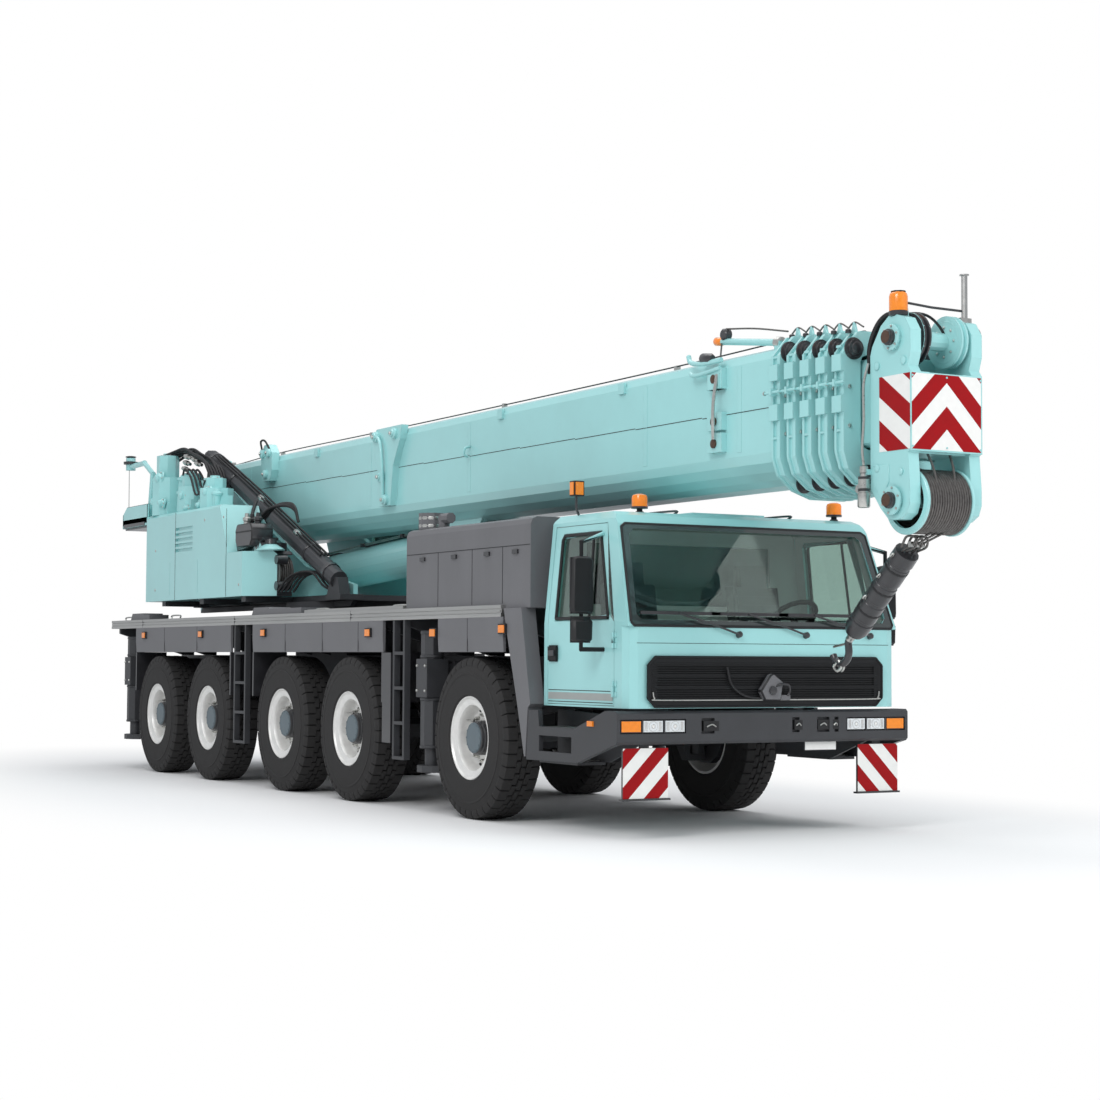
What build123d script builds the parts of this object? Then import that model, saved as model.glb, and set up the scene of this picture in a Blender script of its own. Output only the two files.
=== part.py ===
from build123d import *
import math
import os

# Five-axle all-terrain mobile crane, parked in road trim with its boom stowed.
# Millimetres. +X is forward, +Y the vehicle's left, +Z up, and the floor is Z = 0.
# The origin is on the floor under the middle of the whole machine.
# One-sided pieces are drawn on the left and mirrored to the right.

# ---------------------------------------------------------------- overall
half_width = 1375.0
bumper_front_x = 5000.0
carrier_rear_x = -7200.0
running_gap = 0.5
seat_gap = 0.3
panel_gap = 6.0

# ---------------------------------------------------------------- wheels
axle_x = {1: 2570.0, 2: 50.0, 3: -1620.0, 4: -3770.0, 5: -5470.0}
steered_axles = (1, 2, 5)
wheel_sides = 24
tyre_radius = 685.0
tyre_width = 375.0
sidewall_radius = 520.0
shoulder_radius = 640.0
shoulder_inset = 22.0
tread_inset = 62.0
notch_depth = 26.0
notch_half_angle = math.radians(1.3)
rim_radius = 355.0
rim_inset = 16.0
rim_lip = 24.0
dish_depth = 130.0
dish_radius = 240.0
hub_sides = 12
hub_radius = 150.0
hub_inset = 45.0
hub_plug_radius = 15.0
brake_radius = 255.0
brake_clearance = 35.0
kingpin_y = half_width - 435
kingpin_half_height = 170.0
kingpin_radius = 70.0
kingpin_bore_radius = 12.0
hub_face_y = half_width - 270
axle_tube_radius = 95.0

# ---------------------------------------------------------------- carrier
rail_inner_y = 330.0
rail_outer_y = 470.0
rail_bottom_z = 930.0
rail_top_z = 1380.0
rail_drop_x = 3300.0
rail_front_x = 4300.0
nose_rail_bottom_z = 700.0
rail_end_inset = 60.0
deck_top_z = 1800.0
deck_edge_depth = 100.0
deck_edge_width = 40.0
deck_plate = 30.0
deck_front_x = 3150.0
skirt_bottom_z = 1410.0
skirt_thickness = 30.0
skirt_spans = ((-6240.0, -3040.0), (-2400.0, 850.0), (1990.0, 3190.0))
bracket_places = (-7110.0, -6300.0, -4640.0, -2450.0, -2960.0, 640.0, 1250.0, 2080.0, 3140.0)
bracket_width = 60.0
cross_member_places = (-7090.0, -5900.0, -4700.0, -3300.0, -2100.0, -800.0, 500.0)
cross_member_width = 100.0
tow_pin_radius = 25.0
tow_pin_x = carrier_rear_x + 10
tow_jaw_z = 1090.0
tow_jaw_half = 90.0
tow_jaw_slot = 80.0
ladder_spans = ((-2960.0, -2620.0), (1050.0, 1300.0))
ladder_bottom_z = 440.0
ladder_rungs = 4

# ---------------------------------------------------------------- engine housing
housing_front_x = 3580.0
housing_rear_x = 1260.0
housing_half_width = half_width - 42
housing_top_z = 2510.0
louvre_count = 6
exhaust_radius = 115.0
exhaust_x = 1420.0
exhaust_top_z = 2660.0

# ---------------------------------------------------------------- outriggers
outrigger_x = {"front": 1540.0, "rear": -6690.0}
beam_offset_x = 105.0
beam_width = 180.0
beam_height = 260.0
beam_centre_z = 1180.0
beam_box_wall = 20.0
beam_clearance = 8.0
beam_box_half_length = 1100.0
jack_y = half_width - 120
jack_half_width = 95.0
jack_tube_top_z = 1600.0
jack_tube_bottom_z = 560.0
jack_rod_radius = 62.0
pad_radius = 190.0
pad_thickness = 60.0
pad_centre_y = jack_y - 70
pad_bottom_z = 350.0

# ---------------------------------------------------------------- bumper
bumper_bottom_z = 715.0
bumper_top_z = 967.0
bumper_plate = 40.0
step_frame_rear_x = 3600.0
step_frame_front_x = 4413.0
step_frame_bottom_z = 550.0
step_z = (812.0, 560.0)
step_width = 250.0
lamp_pocket_depth = 25.0
lamp_z = (798.0, 905.0)
board_thickness = 20.0
board_width = 400.0
board_height = 380.0
board_bottom_z = 310.0

# ---------------------------------------------------------------- cab
cab_rear_x = 3700.0
cab_front_x = bumper_front_x - 15
cab_half_width = half_width - 105
roof_half_width = cab_half_width - 80
cab_floor_z = 985.0
cab_wall = 45.0
cab_floor_depth = 70.0
cab_roof_z = 2500.0
cab_belt_z = 1640.0
cab_corner_radius = 90.0
windshield_bottom_z = 1606.0
windshield_top_z = 2400.0
windshield_top_x = 4700.0
window_frame = 50.0
glass_thickness = 8.0
door_front_x = 4785.0
door_front_top_x = 4560.0
door_rear_x = 3755.0
door_bottom_z = 1000.0
door_top_z = 2410.0
door_gap = 4.0
door_swing_gap = 9.0
door_hinge_offset = 14.0
door_hinge_radius = 11.0
door_hinge_z = (1130.0, 1500.0)

# ---------------------------------------------------------------- superstructure
slew_x = -2700.0
slew_ring_radius = 830.0
slew_ring_bottom_z = 1420.0
slew_joint_z = 1860.0
ring_sides = 24
upper_floor_z = 2015.0
upper_floor_thickness = 60.0
side_plate_y = 520.0
side_plate_thickness = 50.0
boom_pivot_x = -5900.0
boom_pivot_z = 3250.0
pivot_radius = 95.0
strut_radius = 95.0
strut_y = 720.0
pump_house_outer_y = half_width - 75
pump_house_inner_y = 835.0
pump_house_rear_x = -6120.0
pump_house_front_x = -2640.0
pump_house_step_x = -3375.0
pump_house_low_z = 2500.0
pump_house_high_z = 3050.0
winch_x = -2760.0
winch_z = 2260.0
winch_radius = 150.0
crane_cab_outer_y = half_width - 45
crane_cab_inner_y = side_plate_y + 110
crane_cab_rear_x = -4300.0
crane_cab_front_x = -2350.0
crane_cab_top_z = 3420.0
crane_cab_wall = 40.0
sliding_door_gap = 6.0
sliding_door_thickness = 28.0

# ---------------------------------------------------------------- boom
base_half_width = 445.0
base_top_z = 3690.0
base_side_low_z = 2900.0
base_bottom_z = 2680.0
base_rear_x = -6250.0
base_front_x = 5860.0
boom_corner = 90.0
boom_wall = 12.0
section_step = 36.0
section_count = 5
section_rear_pitch = 60.0
section_rear_inset = 650.0
wear_pad_length = 120.0
wear_pad_width = 110.0
collar_pitch = 170.0
collar_length = 62.0
collar_height = 60.0
collar_drop = 130.0
collar_step = 16.0
ear_width = 150.0
ear_pin_radius = 38.0

# ---------------------------------------------------------------- boom head
head_rear_x = 6690.0
head_front_x = 7130.0
head_half_width = 320.0
cheek_thickness = 95.0
head_top_z = 3760.0
head_bottom_z = 2330.0
head_plate_bottom_z = 2790.0
head_plate_top_z = 3350.0
sheave_sides = 28
top_sheave_x = 6950.0
top_sheave_z = 3600.0
top_sheave_radius = 185.0
low_sheave_x = 6950.0
low_sheave_z = 2465.0
low_sheave_radius = 225.0
sheave_pin_radius = 45.0
sheave_pin_proud = 78.0
rope_groove_count = 5
rope_radius = 8.0
pole_top_z = 4090.0

# ---------------------------------------------------------------- lift cylinder
lift_foot_x = -4600.0
lift_foot_z = 2235.0
lift_eye_x = 100.0
lift_eye_z = 2500.0
lift_pin_radius = 80.0
lift_eye_radius = 160.0
lift_eye_half_width = 150.0
lift_tube_radius = 200.0
lift_rod_radius = 130.0
lift_tube_length = 3900.0


# ================================================================ shapes
def box(x_low, x_high, y_low, y_high, z_low, z_high):
    """A box between two corners."""
    centre = Pos((x_low + x_high) / 2, (y_low + y_high) / 2, (z_low + z_high) / 2)
    return centre * Box(x_high - x_low, y_high - y_low, z_high - z_low)


def side_prism(points, y_low, y_high):
    """An outline of (x, z) points in side view, extruded across the machine."""
    outline = Wire.make_polygon([(x, y_low, z) for x, z in points], close=True)
    return extrude(Face(outline), y_high - y_low, dir=(0, 1, 0))


def front_prism(points, x_low, x_high):
    """An outline of (y, z) points in front view, extruded along the machine."""
    outline = Wire.make_polygon([(x_low, y, z) for y, z in points], close=True)
    return extrude(Face(outline), x_high - x_low, dir=(1, 0, 0))


def plan_prism(points, z_low, z_high):
    """An outline of (x, y) points in plan, extruded upwards."""
    outline = Wire.make_polygon([(x, y, z_low) for x, y in points], close=True)
    return extrude(Face(outline), z_high - z_low, dir=(0, 0, 1))


def bar(start, end, radius, sides=8):
    """A many-sided bar between two points, so wide across its flats."""
    span = Vector(*end) - Vector(*start)
    plane = Plane(origin=start, z_dir=span)
    corner = radius / math.cos(math.pi / sides)
    points = []
    for side in range(sides):
        angle = (2 * side + 1) * math.pi / sides
        points.append(plane.from_local_coords(Vector(corner * math.cos(angle), corner * math.sin(angle), 0)))
    return extrude(Face(Wire.make_polygon(points, close=True)), span.length, dir=span)


def round_bar(start, end, radius):
    """A true round bar, for pins, rods and bores."""
    span = Vector(*end) - Vector(*start)
    return Part() + Solid.make_cylinder(radius, span.length, Plane(origin=start, z_dir=span))


def across(x, z, radius, y_low, y_high):
    """A round bar that lies across the machine."""
    return round_bar((x, y_low, z), (x, y_high, z), radius)


def upright(x, y, radius, z_low, z_high):
    """A round bar that stands up."""
    return round_bar((x, y, z_low), (x, y, z_high), radius)


def bent_bar(points, radius, sides=8):
    """Bars from point to point, each run lengthened a little past its corner."""
    shape = Part()
    for start, end in zip(points, points[1:]):
        span = (Vector(*end) - Vector(*start)).normalized() * radius * 0.6
        low = Vector(*start) - span
        high = Vector(*end) + span
        shape += bar(tuple(low), tuple(high), radius, sides)
    return shape


def faceted(x, z, sides, stations):
    """A turned form across the machine in flat facets, through (y, flat-to-centre radius) stations."""
    half_turn = math.pi / sides

    def corner(y, radius, index):
        angle = (2 * index + 1) * half_turn
        reach = radius / math.cos(half_turn)
        return (x + reach * math.sin(angle), y, z - reach * math.cos(angle))

    faces = []
    for index in range(sides):
        for (y_1, r_1), (y_2, r_2) in zip(stations, stations[1:]):
            faces.append(polygon(corner(y_1, r_1, index), corner(y_1, r_1, index + 1),
                                 corner(y_2, r_2, index + 1), corner(y_2, r_2, index)))
    for y, radius in (stations[0], stations[-1]):
        faces.append(polygon(*[corner(y, radius, index) for index in range(sides)]))
    return Part() + Solid(Shell(faces))


def polygon(*points):
    return Face(Wire.make_polygon(points, close=True))


def both_sides(shape):
    return shape + mirror(shape, about=Plane.XZ)


def to_side(shape, side):
    """Shapes are drawn on the left; the right one is the mirror image."""
    return shape if side == "left" else mirror(shape, about=Plane.XZ)


def save(name, *shapes):
    solids = [solid for shape in shapes for solid in shape.solids()]
    export_step(Compound(label=name, children=solids), f"parts/{name}.step")


# ================================================================ wheels
def tyre():
    """Sidewalls in flat facets and a tread of cross lugs, with a notch between each two."""
    half_pitch = math.pi / wheel_sides
    tread_radius = tyre_radius / math.cos(half_pitch - notch_half_angle)
    bead_radius = (rim_radius + running_gap) / math.cos(half_pitch)
    edges = ((half_width - tyre_width, 1), (half_width, -1))
    wall = ((rim_inset - 2, bead_radius), (0, sidewall_radius), (shoulder_inset, shoulder_radius))

    def point(y, radius, angle):
        return (radius * math.sin(angle), y, tyre_radius - radius * math.cos(angle))

    faces = []
    for index in range(wheel_sides):
        start = (2 * index - 1) * half_pitch
        end = (2 * index + 1) * half_pitch
        lug_start = start + notch_half_angle
        lug_end = end - notch_half_angle
        for edge_y, inward in edges:
            for (low_y, low_r), (high_y, high_r) in zip(wall, wall[1:]):
                y_1 = edge_y + inward * low_y
                y_2 = edge_y + inward * high_y
                faces.append(polygon(point(y_1, low_r, start), point(y_1, low_r, end),
                                     point(y_2, high_r, end), point(y_2, high_r, start)))
            y_1 = edge_y + inward * shoulder_inset
            y_2 = edge_y + inward * tread_inset
            lug = (point(y_2, tread_radius, lug_start), point(y_2, tread_radius, lug_end))
            foot = (point(y_1, shoulder_radius, start), point(y_1, shoulder_radius, end))
            notch = (point(y_2, tread_radius - notch_depth, start), point(y_2, tread_radius - notch_depth, end))
            faces.append(polygon(foot[0], foot[1], lug[1], lug[0]))
            faces.append(polygon(foot[0], lug[0], notch[0]))
            faces.append(polygon(foot[1], notch[1], lug[1]))
        across_tread = ((lug_start, tread_radius, lug_end, tread_radius),
                        (start, tread_radius - notch_depth, lug_start, tread_radius),
                        (lug_end, tread_radius, end, tread_radius - notch_depth))
        y_1 = half_width - tyre_width + tread_inset
        y_2 = half_width - tread_inset
        for angle_1, r_1, angle_2, r_2 in across_tread:
            faces.append(polygon(point(y_1, r_1, angle_1), point(y_1, r_2, angle_2),
                                 point(y_2, r_2, angle_2), point(y_2, r_1, angle_1)))
        y_1 = half_width - tyre_width + rim_inset - 2
        y_2 = half_width - rim_inset + 2
        faces.append(polygon(point(y_1, bead_radius, start), point(y_1, bead_radius, end),
                             point(y_2, bead_radius, end), point(y_2, bead_radius, start)))
    return Part() + Solid(Shell(faces))


def rim():
    """Barrel, outer dish, hub with its plug, and the recess for the brake at the back."""
    z = tyre_radius
    outer_y = half_width - rim_inset
    inner_y = half_width - tyre_width + rim_inset
    disc_y = outer_y - dish_depth
    hub_end_y = half_width - hub_inset
    barrel = faceted(0, z, wheel_sides, ((inner_y, rim_radius), (outer_y, rim_radius)))
    dish = faceted(0, z, wheel_sides, ((disc_y, dish_radius), (outer_y - 30, rim_radius - 40),
                                       (outer_y + 1, rim_radius - rim_lip)))
    recess = faceted(0, z, hub_sides, ((inner_y - 1, brake_radius + brake_clearance),
                                       (hub_face_y, brake_radius + brake_clearance)))
    hub = faceted(0, z, hub_sides, ((disc_y - 10, hub_radius), (hub_end_y - 20, hub_radius),
                                    (hub_end_y, hub_radius - 25)))
    plug = across(0, z, hub_plug_radius, hub_end_y, hub_end_y + 12)
    return barrel - dish - recess + hub + plug


def knuckle():
    """Kingpin post, brake drum face and steering arm."""
    z = tyre_radius
    post = bar((0, kingpin_y, z - kingpin_half_height), (0, kingpin_y, z + kingpin_half_height), kingpin_radius)
    brake = faceted(0, z, hub_sides, ((kingpin_y, kingpin_radius + 40), (kingpin_y + 85, kingpin_radius + 40),
                                      (kingpin_y + 95, brake_radius), (hub_face_y - running_gap, brake_radius)))
    arm = plan_prism([(0, kingpin_y - 45), (0, kingpin_y + 40), (250, kingpin_y), (250, kingpin_y - 45)],
                     z + 95, z + 135)
    greaser = upright(0, kingpin_y, kingpin_bore_radius, z + kingpin_half_height - 20, z + kingpin_half_height + 1)
    return post + brake + arm - greaser


def axle_end(number):
    """The left end of an axle: a yoke round the kingpin post, or a fixed brake drum face."""
    z = tyre_radius
    if number not in steered_axles:
        return faceted(0, z, hub_sides, ((kingpin_y + 85, brake_radius), (hub_face_y - running_gap, brake_radius)))
    reach = kingpin_half_height + running_gap
    lip = kingpin_y + 55
    outline = [(kingpin_y - 180, z - 100), (kingpin_y - 120, z - reach - 60), (lip, z - reach - 60),
               (lip, z - reach), (kingpin_y - 110, z - reach), (kingpin_y - 110, z + reach),
               (lip, z + reach), (lip, z + reach + 60),
               (kingpin_y - 120, z + reach + 60), (kingpin_y - 180, z + 100)]
    return front_prism(outline, -60, 60)


def axle_beam(number):
    """Axle tube with its ends, the final drive and the suspension cylinders up to the rails."""
    z = tyre_radius
    tube_end = kingpin_y - 115 if number in steered_axles else kingpin_y + 90
    tube = bar((0, 0, z), (0, tube_end, z), axle_tube_radius)
    rail_y = (rail_inner_y + rail_outer_y) / 2
    cylinder = bar((0, rail_y, z), (0, rail_y, rail_bottom_z), 60)
    final_drive = faceted(0, z, 10, ((-190, 90), (-90, 225), (90, 225), (190, 90)))
    beam = both_sides(tube + axle_end(number) + cylinder) + final_drive
    return Pos(axle_x[number], 0, 0) * beam


def driveline():
    """Axles, propeller shafts, transfer case, gearbox and the engine as one block."""
    line = bar((axle_x[5], 0, tyre_radius), (axle_x[1], 0, tyre_radius), 55, 6)
    for number in axle_x:
        line += axle_beam(number)
    case = side_prism([(860, 930), (860, 720), (920, 630), (1190, 630), (1250, 720), (1250, 930)], -220, 220)
    gearbox = side_prism([(1900, 1000), (1980, 880), (2260, 880), (2260, 1350), (1980, 1350), (1900, 1230)],
                         -230, 230)
    engine = box(2250, 3290, -310, 310, 960, 1740)
    propeller = bar((1200, 0, 860), (1950, 0, 960), 50, 6)
    return line + case + gearbox + engine + propeller


# ================================================================ carrier
def outrigger_channels(end, wall):
    """The cross boxes of one outrigger pair, or with no wall the channels that run through them."""
    reach = beam_clearance + wall
    low = beam_centre_z - beam_height / 2 - running_gap - wall
    high = beam_centre_z + beam_height / 2 + reach
    length = beam_box_half_length + (0 if wall else beam_clearance)
    shape = Part()
    for sign in (-1, 1):
        x = outrigger_x[end] + sign * beam_offset_x
        half = beam_width / 2 + reach
        shape += box(x - half, x + half, -length, length, low, high)
    return shape


def deck_brackets():
    """Tapered brackets from the rails out to the deck edges."""
    top = deck_top_z - deck_plate
    reach = half_width - deck_edge_width - 40
    foot = rail_top_z + seat_gap
    outline = [(rail_inner_y, top), (reach, top), (reach, top - 130), (rail_outer_y, foot), (rail_inner_y, foot)]
    brackets = []
    for x in bracket_places:
        bracket = front_prism(outline, x - bracket_width / 2, x + bracket_width / 2)
        brackets += [bracket, mirror(bracket, about=Plane.XZ)]
    return brackets


def tow_jaw():
    """A forked jaw with an upright pin bore, on a plate across the rail ends."""
    x = tow_pin_x
    plate = box(carrier_rear_x + rail_end_inset - 20, carrier_rear_x + rail_end_inset, -rail_outer_y, rail_outer_y,
                rail_bottom_z, rail_top_z)
    jaw = plan_prism([(x + 60, -tow_jaw_half), (x - 20, -tow_jaw_half), (x - 50, -tow_jaw_half / 2),
                      (x - 50, tow_jaw_half / 2), (x - 20, tow_jaw_half), (x + 60, tow_jaw_half)],
                     tow_jaw_z - tow_jaw_half, tow_jaw_z + tow_jaw_half)
    jaw -= box(x - 100, x + 30, -half_width, half_width, tow_jaw_z - tow_jaw_slot / 2, tow_jaw_z + tow_jaw_slot / 2)
    jaw -= upright(x, 0, tow_pin_radius, tow_jaw_z - 200, tow_jaw_z + 200)
    return plate + jaw


def chassis_frame():
    outline = [(carrier_rear_x + rail_end_inset, rail_bottom_z), (rail_drop_x, rail_bottom_z),
               (rail_drop_x + 120, nose_rail_bottom_z), (rail_front_x, nose_rail_bottom_z),
               (rail_front_x, cab_floor_z), (rail_drop_x + 340, cab_floor_z), (rail_drop_x + 240, rail_top_z),
               (carrier_rear_x + rail_end_inset, rail_top_z)]
    frame = both_sides(side_prism(outline, rail_inner_y, rail_outer_y))
    half = cross_member_width / 2
    for x in cross_member_places:
        frame += box(x - half, x + half, -rail_inner_y, rail_inner_y, rail_bottom_z, rail_top_z)
    frame += box(rail_front_x - half, rail_front_x, -rail_inner_y, rail_inner_y, nose_rail_bottom_z, cab_floor_z)
    for end in outrigger_x:
        frame += outrigger_channels(end, beam_box_wall)
    for end in outrigger_x:
        frame -= outrigger_channels(end, 0)
    pedestal = bar((slew_x, 0, slew_ring_bottom_z), (slew_x, 0, slew_joint_z - running_gap), slew_ring_radius,
                   ring_sides)
    foot = box(slew_x - 700, slew_x + 700, -rail_outer_y, rail_outer_y, rail_top_z, slew_ring_bottom_z)
    return [frame + pedestal + foot + tow_jaw()] + deck_brackets()


def outrigger_place(end, side):
    """The beams of a pair lie side by side, the left one behind the right one."""
    return outrigger_x[end] + (beam_offset_x if side == "right" else -beam_offset_x)


def outrigger_beam(end, side):
    """Sliding beam with its end collar and the upright jack tube."""
    x = outrigger_place(end, side)
    half = beam_width / 2
    low = beam_centre_z - beam_height / 2
    high = beam_centre_z + beam_height / 2
    beam = box(x - half, x + half, -beam_box_half_length + 50, jack_y, low, high)
    tube = bar((x, jack_y, jack_tube_bottom_z), (x, jack_y, jack_tube_top_z), jack_half_width, 8)
    collar = box(x - jack_half_width - 12, x + jack_half_width + 12, jack_y - 107, jack_y + 107, low - 40, high + 40)
    bore = upright(x, jack_y, jack_rod_radius + running_gap, jack_tube_bottom_z - 10, jack_tube_top_z - 60)
    return to_side(beam + tube + collar - bore, side)


def outrigger_jack(end, side):
    """Jack rod on its broad pad."""
    x = outrigger_place(end, side)
    piston = upright(x, jack_y, jack_rod_radius, pad_bottom_z + pad_thickness, jack_tube_top_z - 100)
    pad = bar((x, pad_centre_y, pad_bottom_z), (x, pad_centre_y, pad_bottom_z + pad_thickness), pad_radius, 12)
    return to_side(piston + pad, side)


def ladder(x_low, x_high):
    """A side ladder that hangs from the deck edge."""
    y_out = half_width - 10
    y_in = y_out - 60
    top = deck_top_z - deck_edge_depth - seat_gap
    rail = 35
    shape = box(x_low, x_low + rail, y_in, y_out, ladder_bottom_z, top)
    shape += box(x_high - rail, x_high, y_in, y_out, ladder_bottom_z, top)
    pitch = (top - ladder_bottom_z) / ladder_rungs
    for rung in range(ladder_rungs):
        z = ladder_bottom_z + rung * pitch
        shape += box(x_low + rail, x_high - rail, y_in, y_out, z, z + 30)
    return shape


def deck():
    """Deck plate, ribbed edge strips and the side ladders."""
    low = deck_top_z - deck_edge_depth
    inner = half_width - deck_edge_width - seat_gap
    plate = box(carrier_rear_x, housing_rear_x - panel_gap, -inner, inner, deck_top_z - deck_plate, deck_top_z)
    plate -= bar((slew_x, 0, low - 10), (slew_x, 0, deck_top_z + 10), slew_ring_radius + 20, ring_sides)
    face = half_width
    back = half_width - deck_edge_width
    strip = [(back, low), (face, low), (face, low + 30), (face - 7, low + 34), (face - 7, deck_top_z - 34),
             (face, deck_top_z - 30), (face, deck_top_z), (back, deck_top_z)]
    edge = front_prism(strip, carrier_rear_x, deck_front_x)
    rear = box(carrier_rear_x, carrier_rear_x + deck_edge_width, -back + seat_gap, back - seat_gap, low,
               deck_top_z - deck_plate - seat_gap)
    pieces = [plate, rear]
    for shape in [edge] + [ladder(x_low, x_high) for x_low, x_high in ladder_spans]:
        pieces += [shape, mirror(shape, about=Plane.XZ)]
    return pieces


def engine_housing():
    """A box with rounded top edges, louvres in its left wall and a dark rear grille."""
    top = housing_top_z
    wide = housing_half_width
    low = deck_top_z - deck_plate
    outline = [(-wide, low), (wide, low), (wide, top - 60), (wide - 18, top - 18), (wide - 60, top),
               (60 - wide, top), (18 - wide, top - 18), (-wide, top - 60)]
    shape = front_prism(outline, housing_rear_x, housing_front_x)
    pitch = 70.0
    for index in range(louvre_count):
        z = low + 170 + index * pitch
        slot = front_prism([(wide - 30, z), (wide + 1, z), (wide + 1, z + 22), (wide - 30, z + 48)],
                           housing_rear_x + 400, housing_front_x - 900)
        shape -= slot
    return shape


def fender(side):
    """The closed guard between the first wheel and the cab."""
    top = deck_top_z - deck_plate
    outline = [(3200, top), (3290, 1468), (3444, cab_floor_z), (3562, step_frame_bottom_z + 23),
               (3582, step_frame_bottom_z + 23), (3620, cab_floor_z - 20), (3661, cab_floor_z + 10), (3504, top)]
    return to_side(side_prism(outline, half_width - 130, half_width), side)


def body_panels():
    """Side skirts with their crease, front guards, engine housing, exhaust and the boxes on the deck."""
    pieces = []
    top = deck_top_z - deck_edge_depth
    back = half_width - skirt_thickness
    skirt = [(back, skirt_bottom_z), (half_width - 8, skirt_bottom_z), (half_width, skirt_bottom_z + 130),
             (half_width, top), (back, top)]
    for side in ("left", "right"):
        for x_low, x_high in skirt_spans:
            pieces.append(to_side(front_prism(skirt, x_low, x_high), side))
        pieces.append(fender(side))
    housing = engine_housing()
    stack = bar((exhaust_x, -housing_half_width + 170, housing_top_z),
                (exhaust_x, -housing_half_width + 170, exhaust_top_z), exhaust_radius, 12)
    intake = bent_bar([(exhaust_x + 250, -housing_half_width + 170, housing_top_z),
                       (exhaust_x + 250, -housing_half_width + 170, exhaust_top_z - 60),
                       (exhaust_x + 360, -housing_half_width + 170, exhaust_top_z - 60)], 45)
    pieces.append(housing + stack + intake)
    for x_low, x_high in ((-6600.0, -5900.0), (-2560.0, -1210.0)):
        outline = [(x_low, deck_top_z), (x_low + 60, deck_top_z + 80), (x_low + 480, deck_top_z + 80),
                   (x_low + 500, deck_top_z + 60), (x_high, deck_top_z + 60), (x_high, deck_top_z)]
        pieces.append(side_prism(outline, -half_width + 50, -half_width + 290))
    return pieces


# ================================================================ bumper
def lamp_cluster():
    """Three lamps in a shallow pocket, and the pocket's own space."""
    outer = half_width - 30
    inner = outer - 585
    width = (outer - inner) / 3
    blocks = Part()
    for index in range(3):
        y = inner + index * width
        blocks += box(bumper_front_x - lamp_pocket_depth, bumper_front_x - 6, y + 8, y + width - 8,
                      lamp_z[0] + 8, lamp_z[1] - 8)
    pocket = box(bumper_front_x - lamp_pocket_depth, bumper_front_x + 1, inner, outer, lamp_z[0], lamp_z[1])
    return pocket, blocks


def warning_board():
    """A striped width board in a thin frame, hung below the bumper."""
    y_out = half_width - 77
    y_in = y_out - board_width
    x = bumper_front_x - 60
    plate = box(x, x + board_thickness, y_in, y_out, board_bottom_z, board_bottom_z + board_height)
    foot = box(x - 15, x + board_thickness + 15, y_in - 15, y_out + 15, board_bottom_z - 14, board_bottom_z)
    stay = box(x - 15, x, (y_in + y_out) / 2 - 40, (y_in + y_out) / 2 + 40, board_bottom_z + 200,
               bumper_bottom_z + 60)
    return plate + foot + stay


def bumper():
    """Front beam wrapped round the corners, step frames at both sides, lamps and width boards."""
    front = bumper_front_x
    beam = side_prism([(front - 140, bumper_bottom_z + 25), (front - 20, bumper_bottom_z), (front, bumper_bottom_z + 20),
                       (front, bumper_top_z - 20), (front - 20, bumper_top_z), (front - 140, bumper_top_z)],
                      -half_width, half_width)
    floor = step_frame_bottom_z
    outline = [(step_frame_rear_x, floor), (step_frame_front_x, floor + 7), (front - 140, bumper_bottom_z - 30),
               (front - 20, bumper_bottom_z), (front - 20, bumper_top_z), (front - 173, bumper_top_z),
               (step_frame_front_x - 47, step_z[0] + 9), (step_frame_rear_x + 209, step_z[0] + 9),
               (step_frame_rear_x + 190, bumper_top_z - 17), (step_frame_rear_x + 38, bumper_top_z - 17)]
    plate = side_prism(outline, half_width - bumper_plate, half_width)
    plate -= box(step_frame_rear_x + 209, step_frame_front_x - 91, 0, half_width + 1, floor + 77, step_z[0] - 61)
    inner = half_width - bumper_plate - step_width
    side = plate
    for z in step_z:
        side += box(step_frame_rear_x + 150, step_frame_front_x - 60, inner, half_width - bumper_plate, z - 25, z)
    side += side_prism([(step_frame_rear_x, floor), (step_frame_front_x, floor + 7), (front - 60, bumper_bottom_z + 25),
                        (front - 60, bumper_top_z - 60), (step_frame_rear_x, bumper_top_z - 17)], inner - 20, inner)
    pocket, blocks = lamp_cluster()
    side += warning_board()
    shape = beam + both_sides(side)
    shape -= both_sides(pocket)
    for y_low, y_high in ((-620.0, -500.0), (230.0, 300.0), (470.0, 590.0), (640.0, 680.0)):
        shape -= box(front - 30, front + 1, y_low, y_high, lamp_z[0] - 5, lamp_z[1] + 5)
    shape += both_sides(blocks)
    shape += box(rail_front_x, front - 140, -450, 450, bumper_bottom_z + 45, bumper_top_z - 37)
    shape += box(front - 70, front - 60, 390, 700, bumper_bottom_z - 70, bumper_bottom_z + 30)
    return shape


# ================================================================ carrier cab
def cab_outline(inset):
    """Side view of the cab, moved inwards by an inset."""
    return [
        (cab_rear_x + inset, cab_floor_z + inset),
        (cab_front_x - inset, cab_floor_z + inset),
        (cab_front_x - inset, windshield_bottom_z),
        (windshield_top_x - inset, windshield_top_z),
        (windshield_top_x - 60 - inset, cab_roof_z - 30 - inset),
        (windshield_top_x - 140 - inset, cab_roof_z - inset),
        (cab_rear_x + 40 + inset, cab_roof_z - inset),
        (cab_rear_x + inset, cab_roof_z - 40 - inset),
    ]


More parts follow.
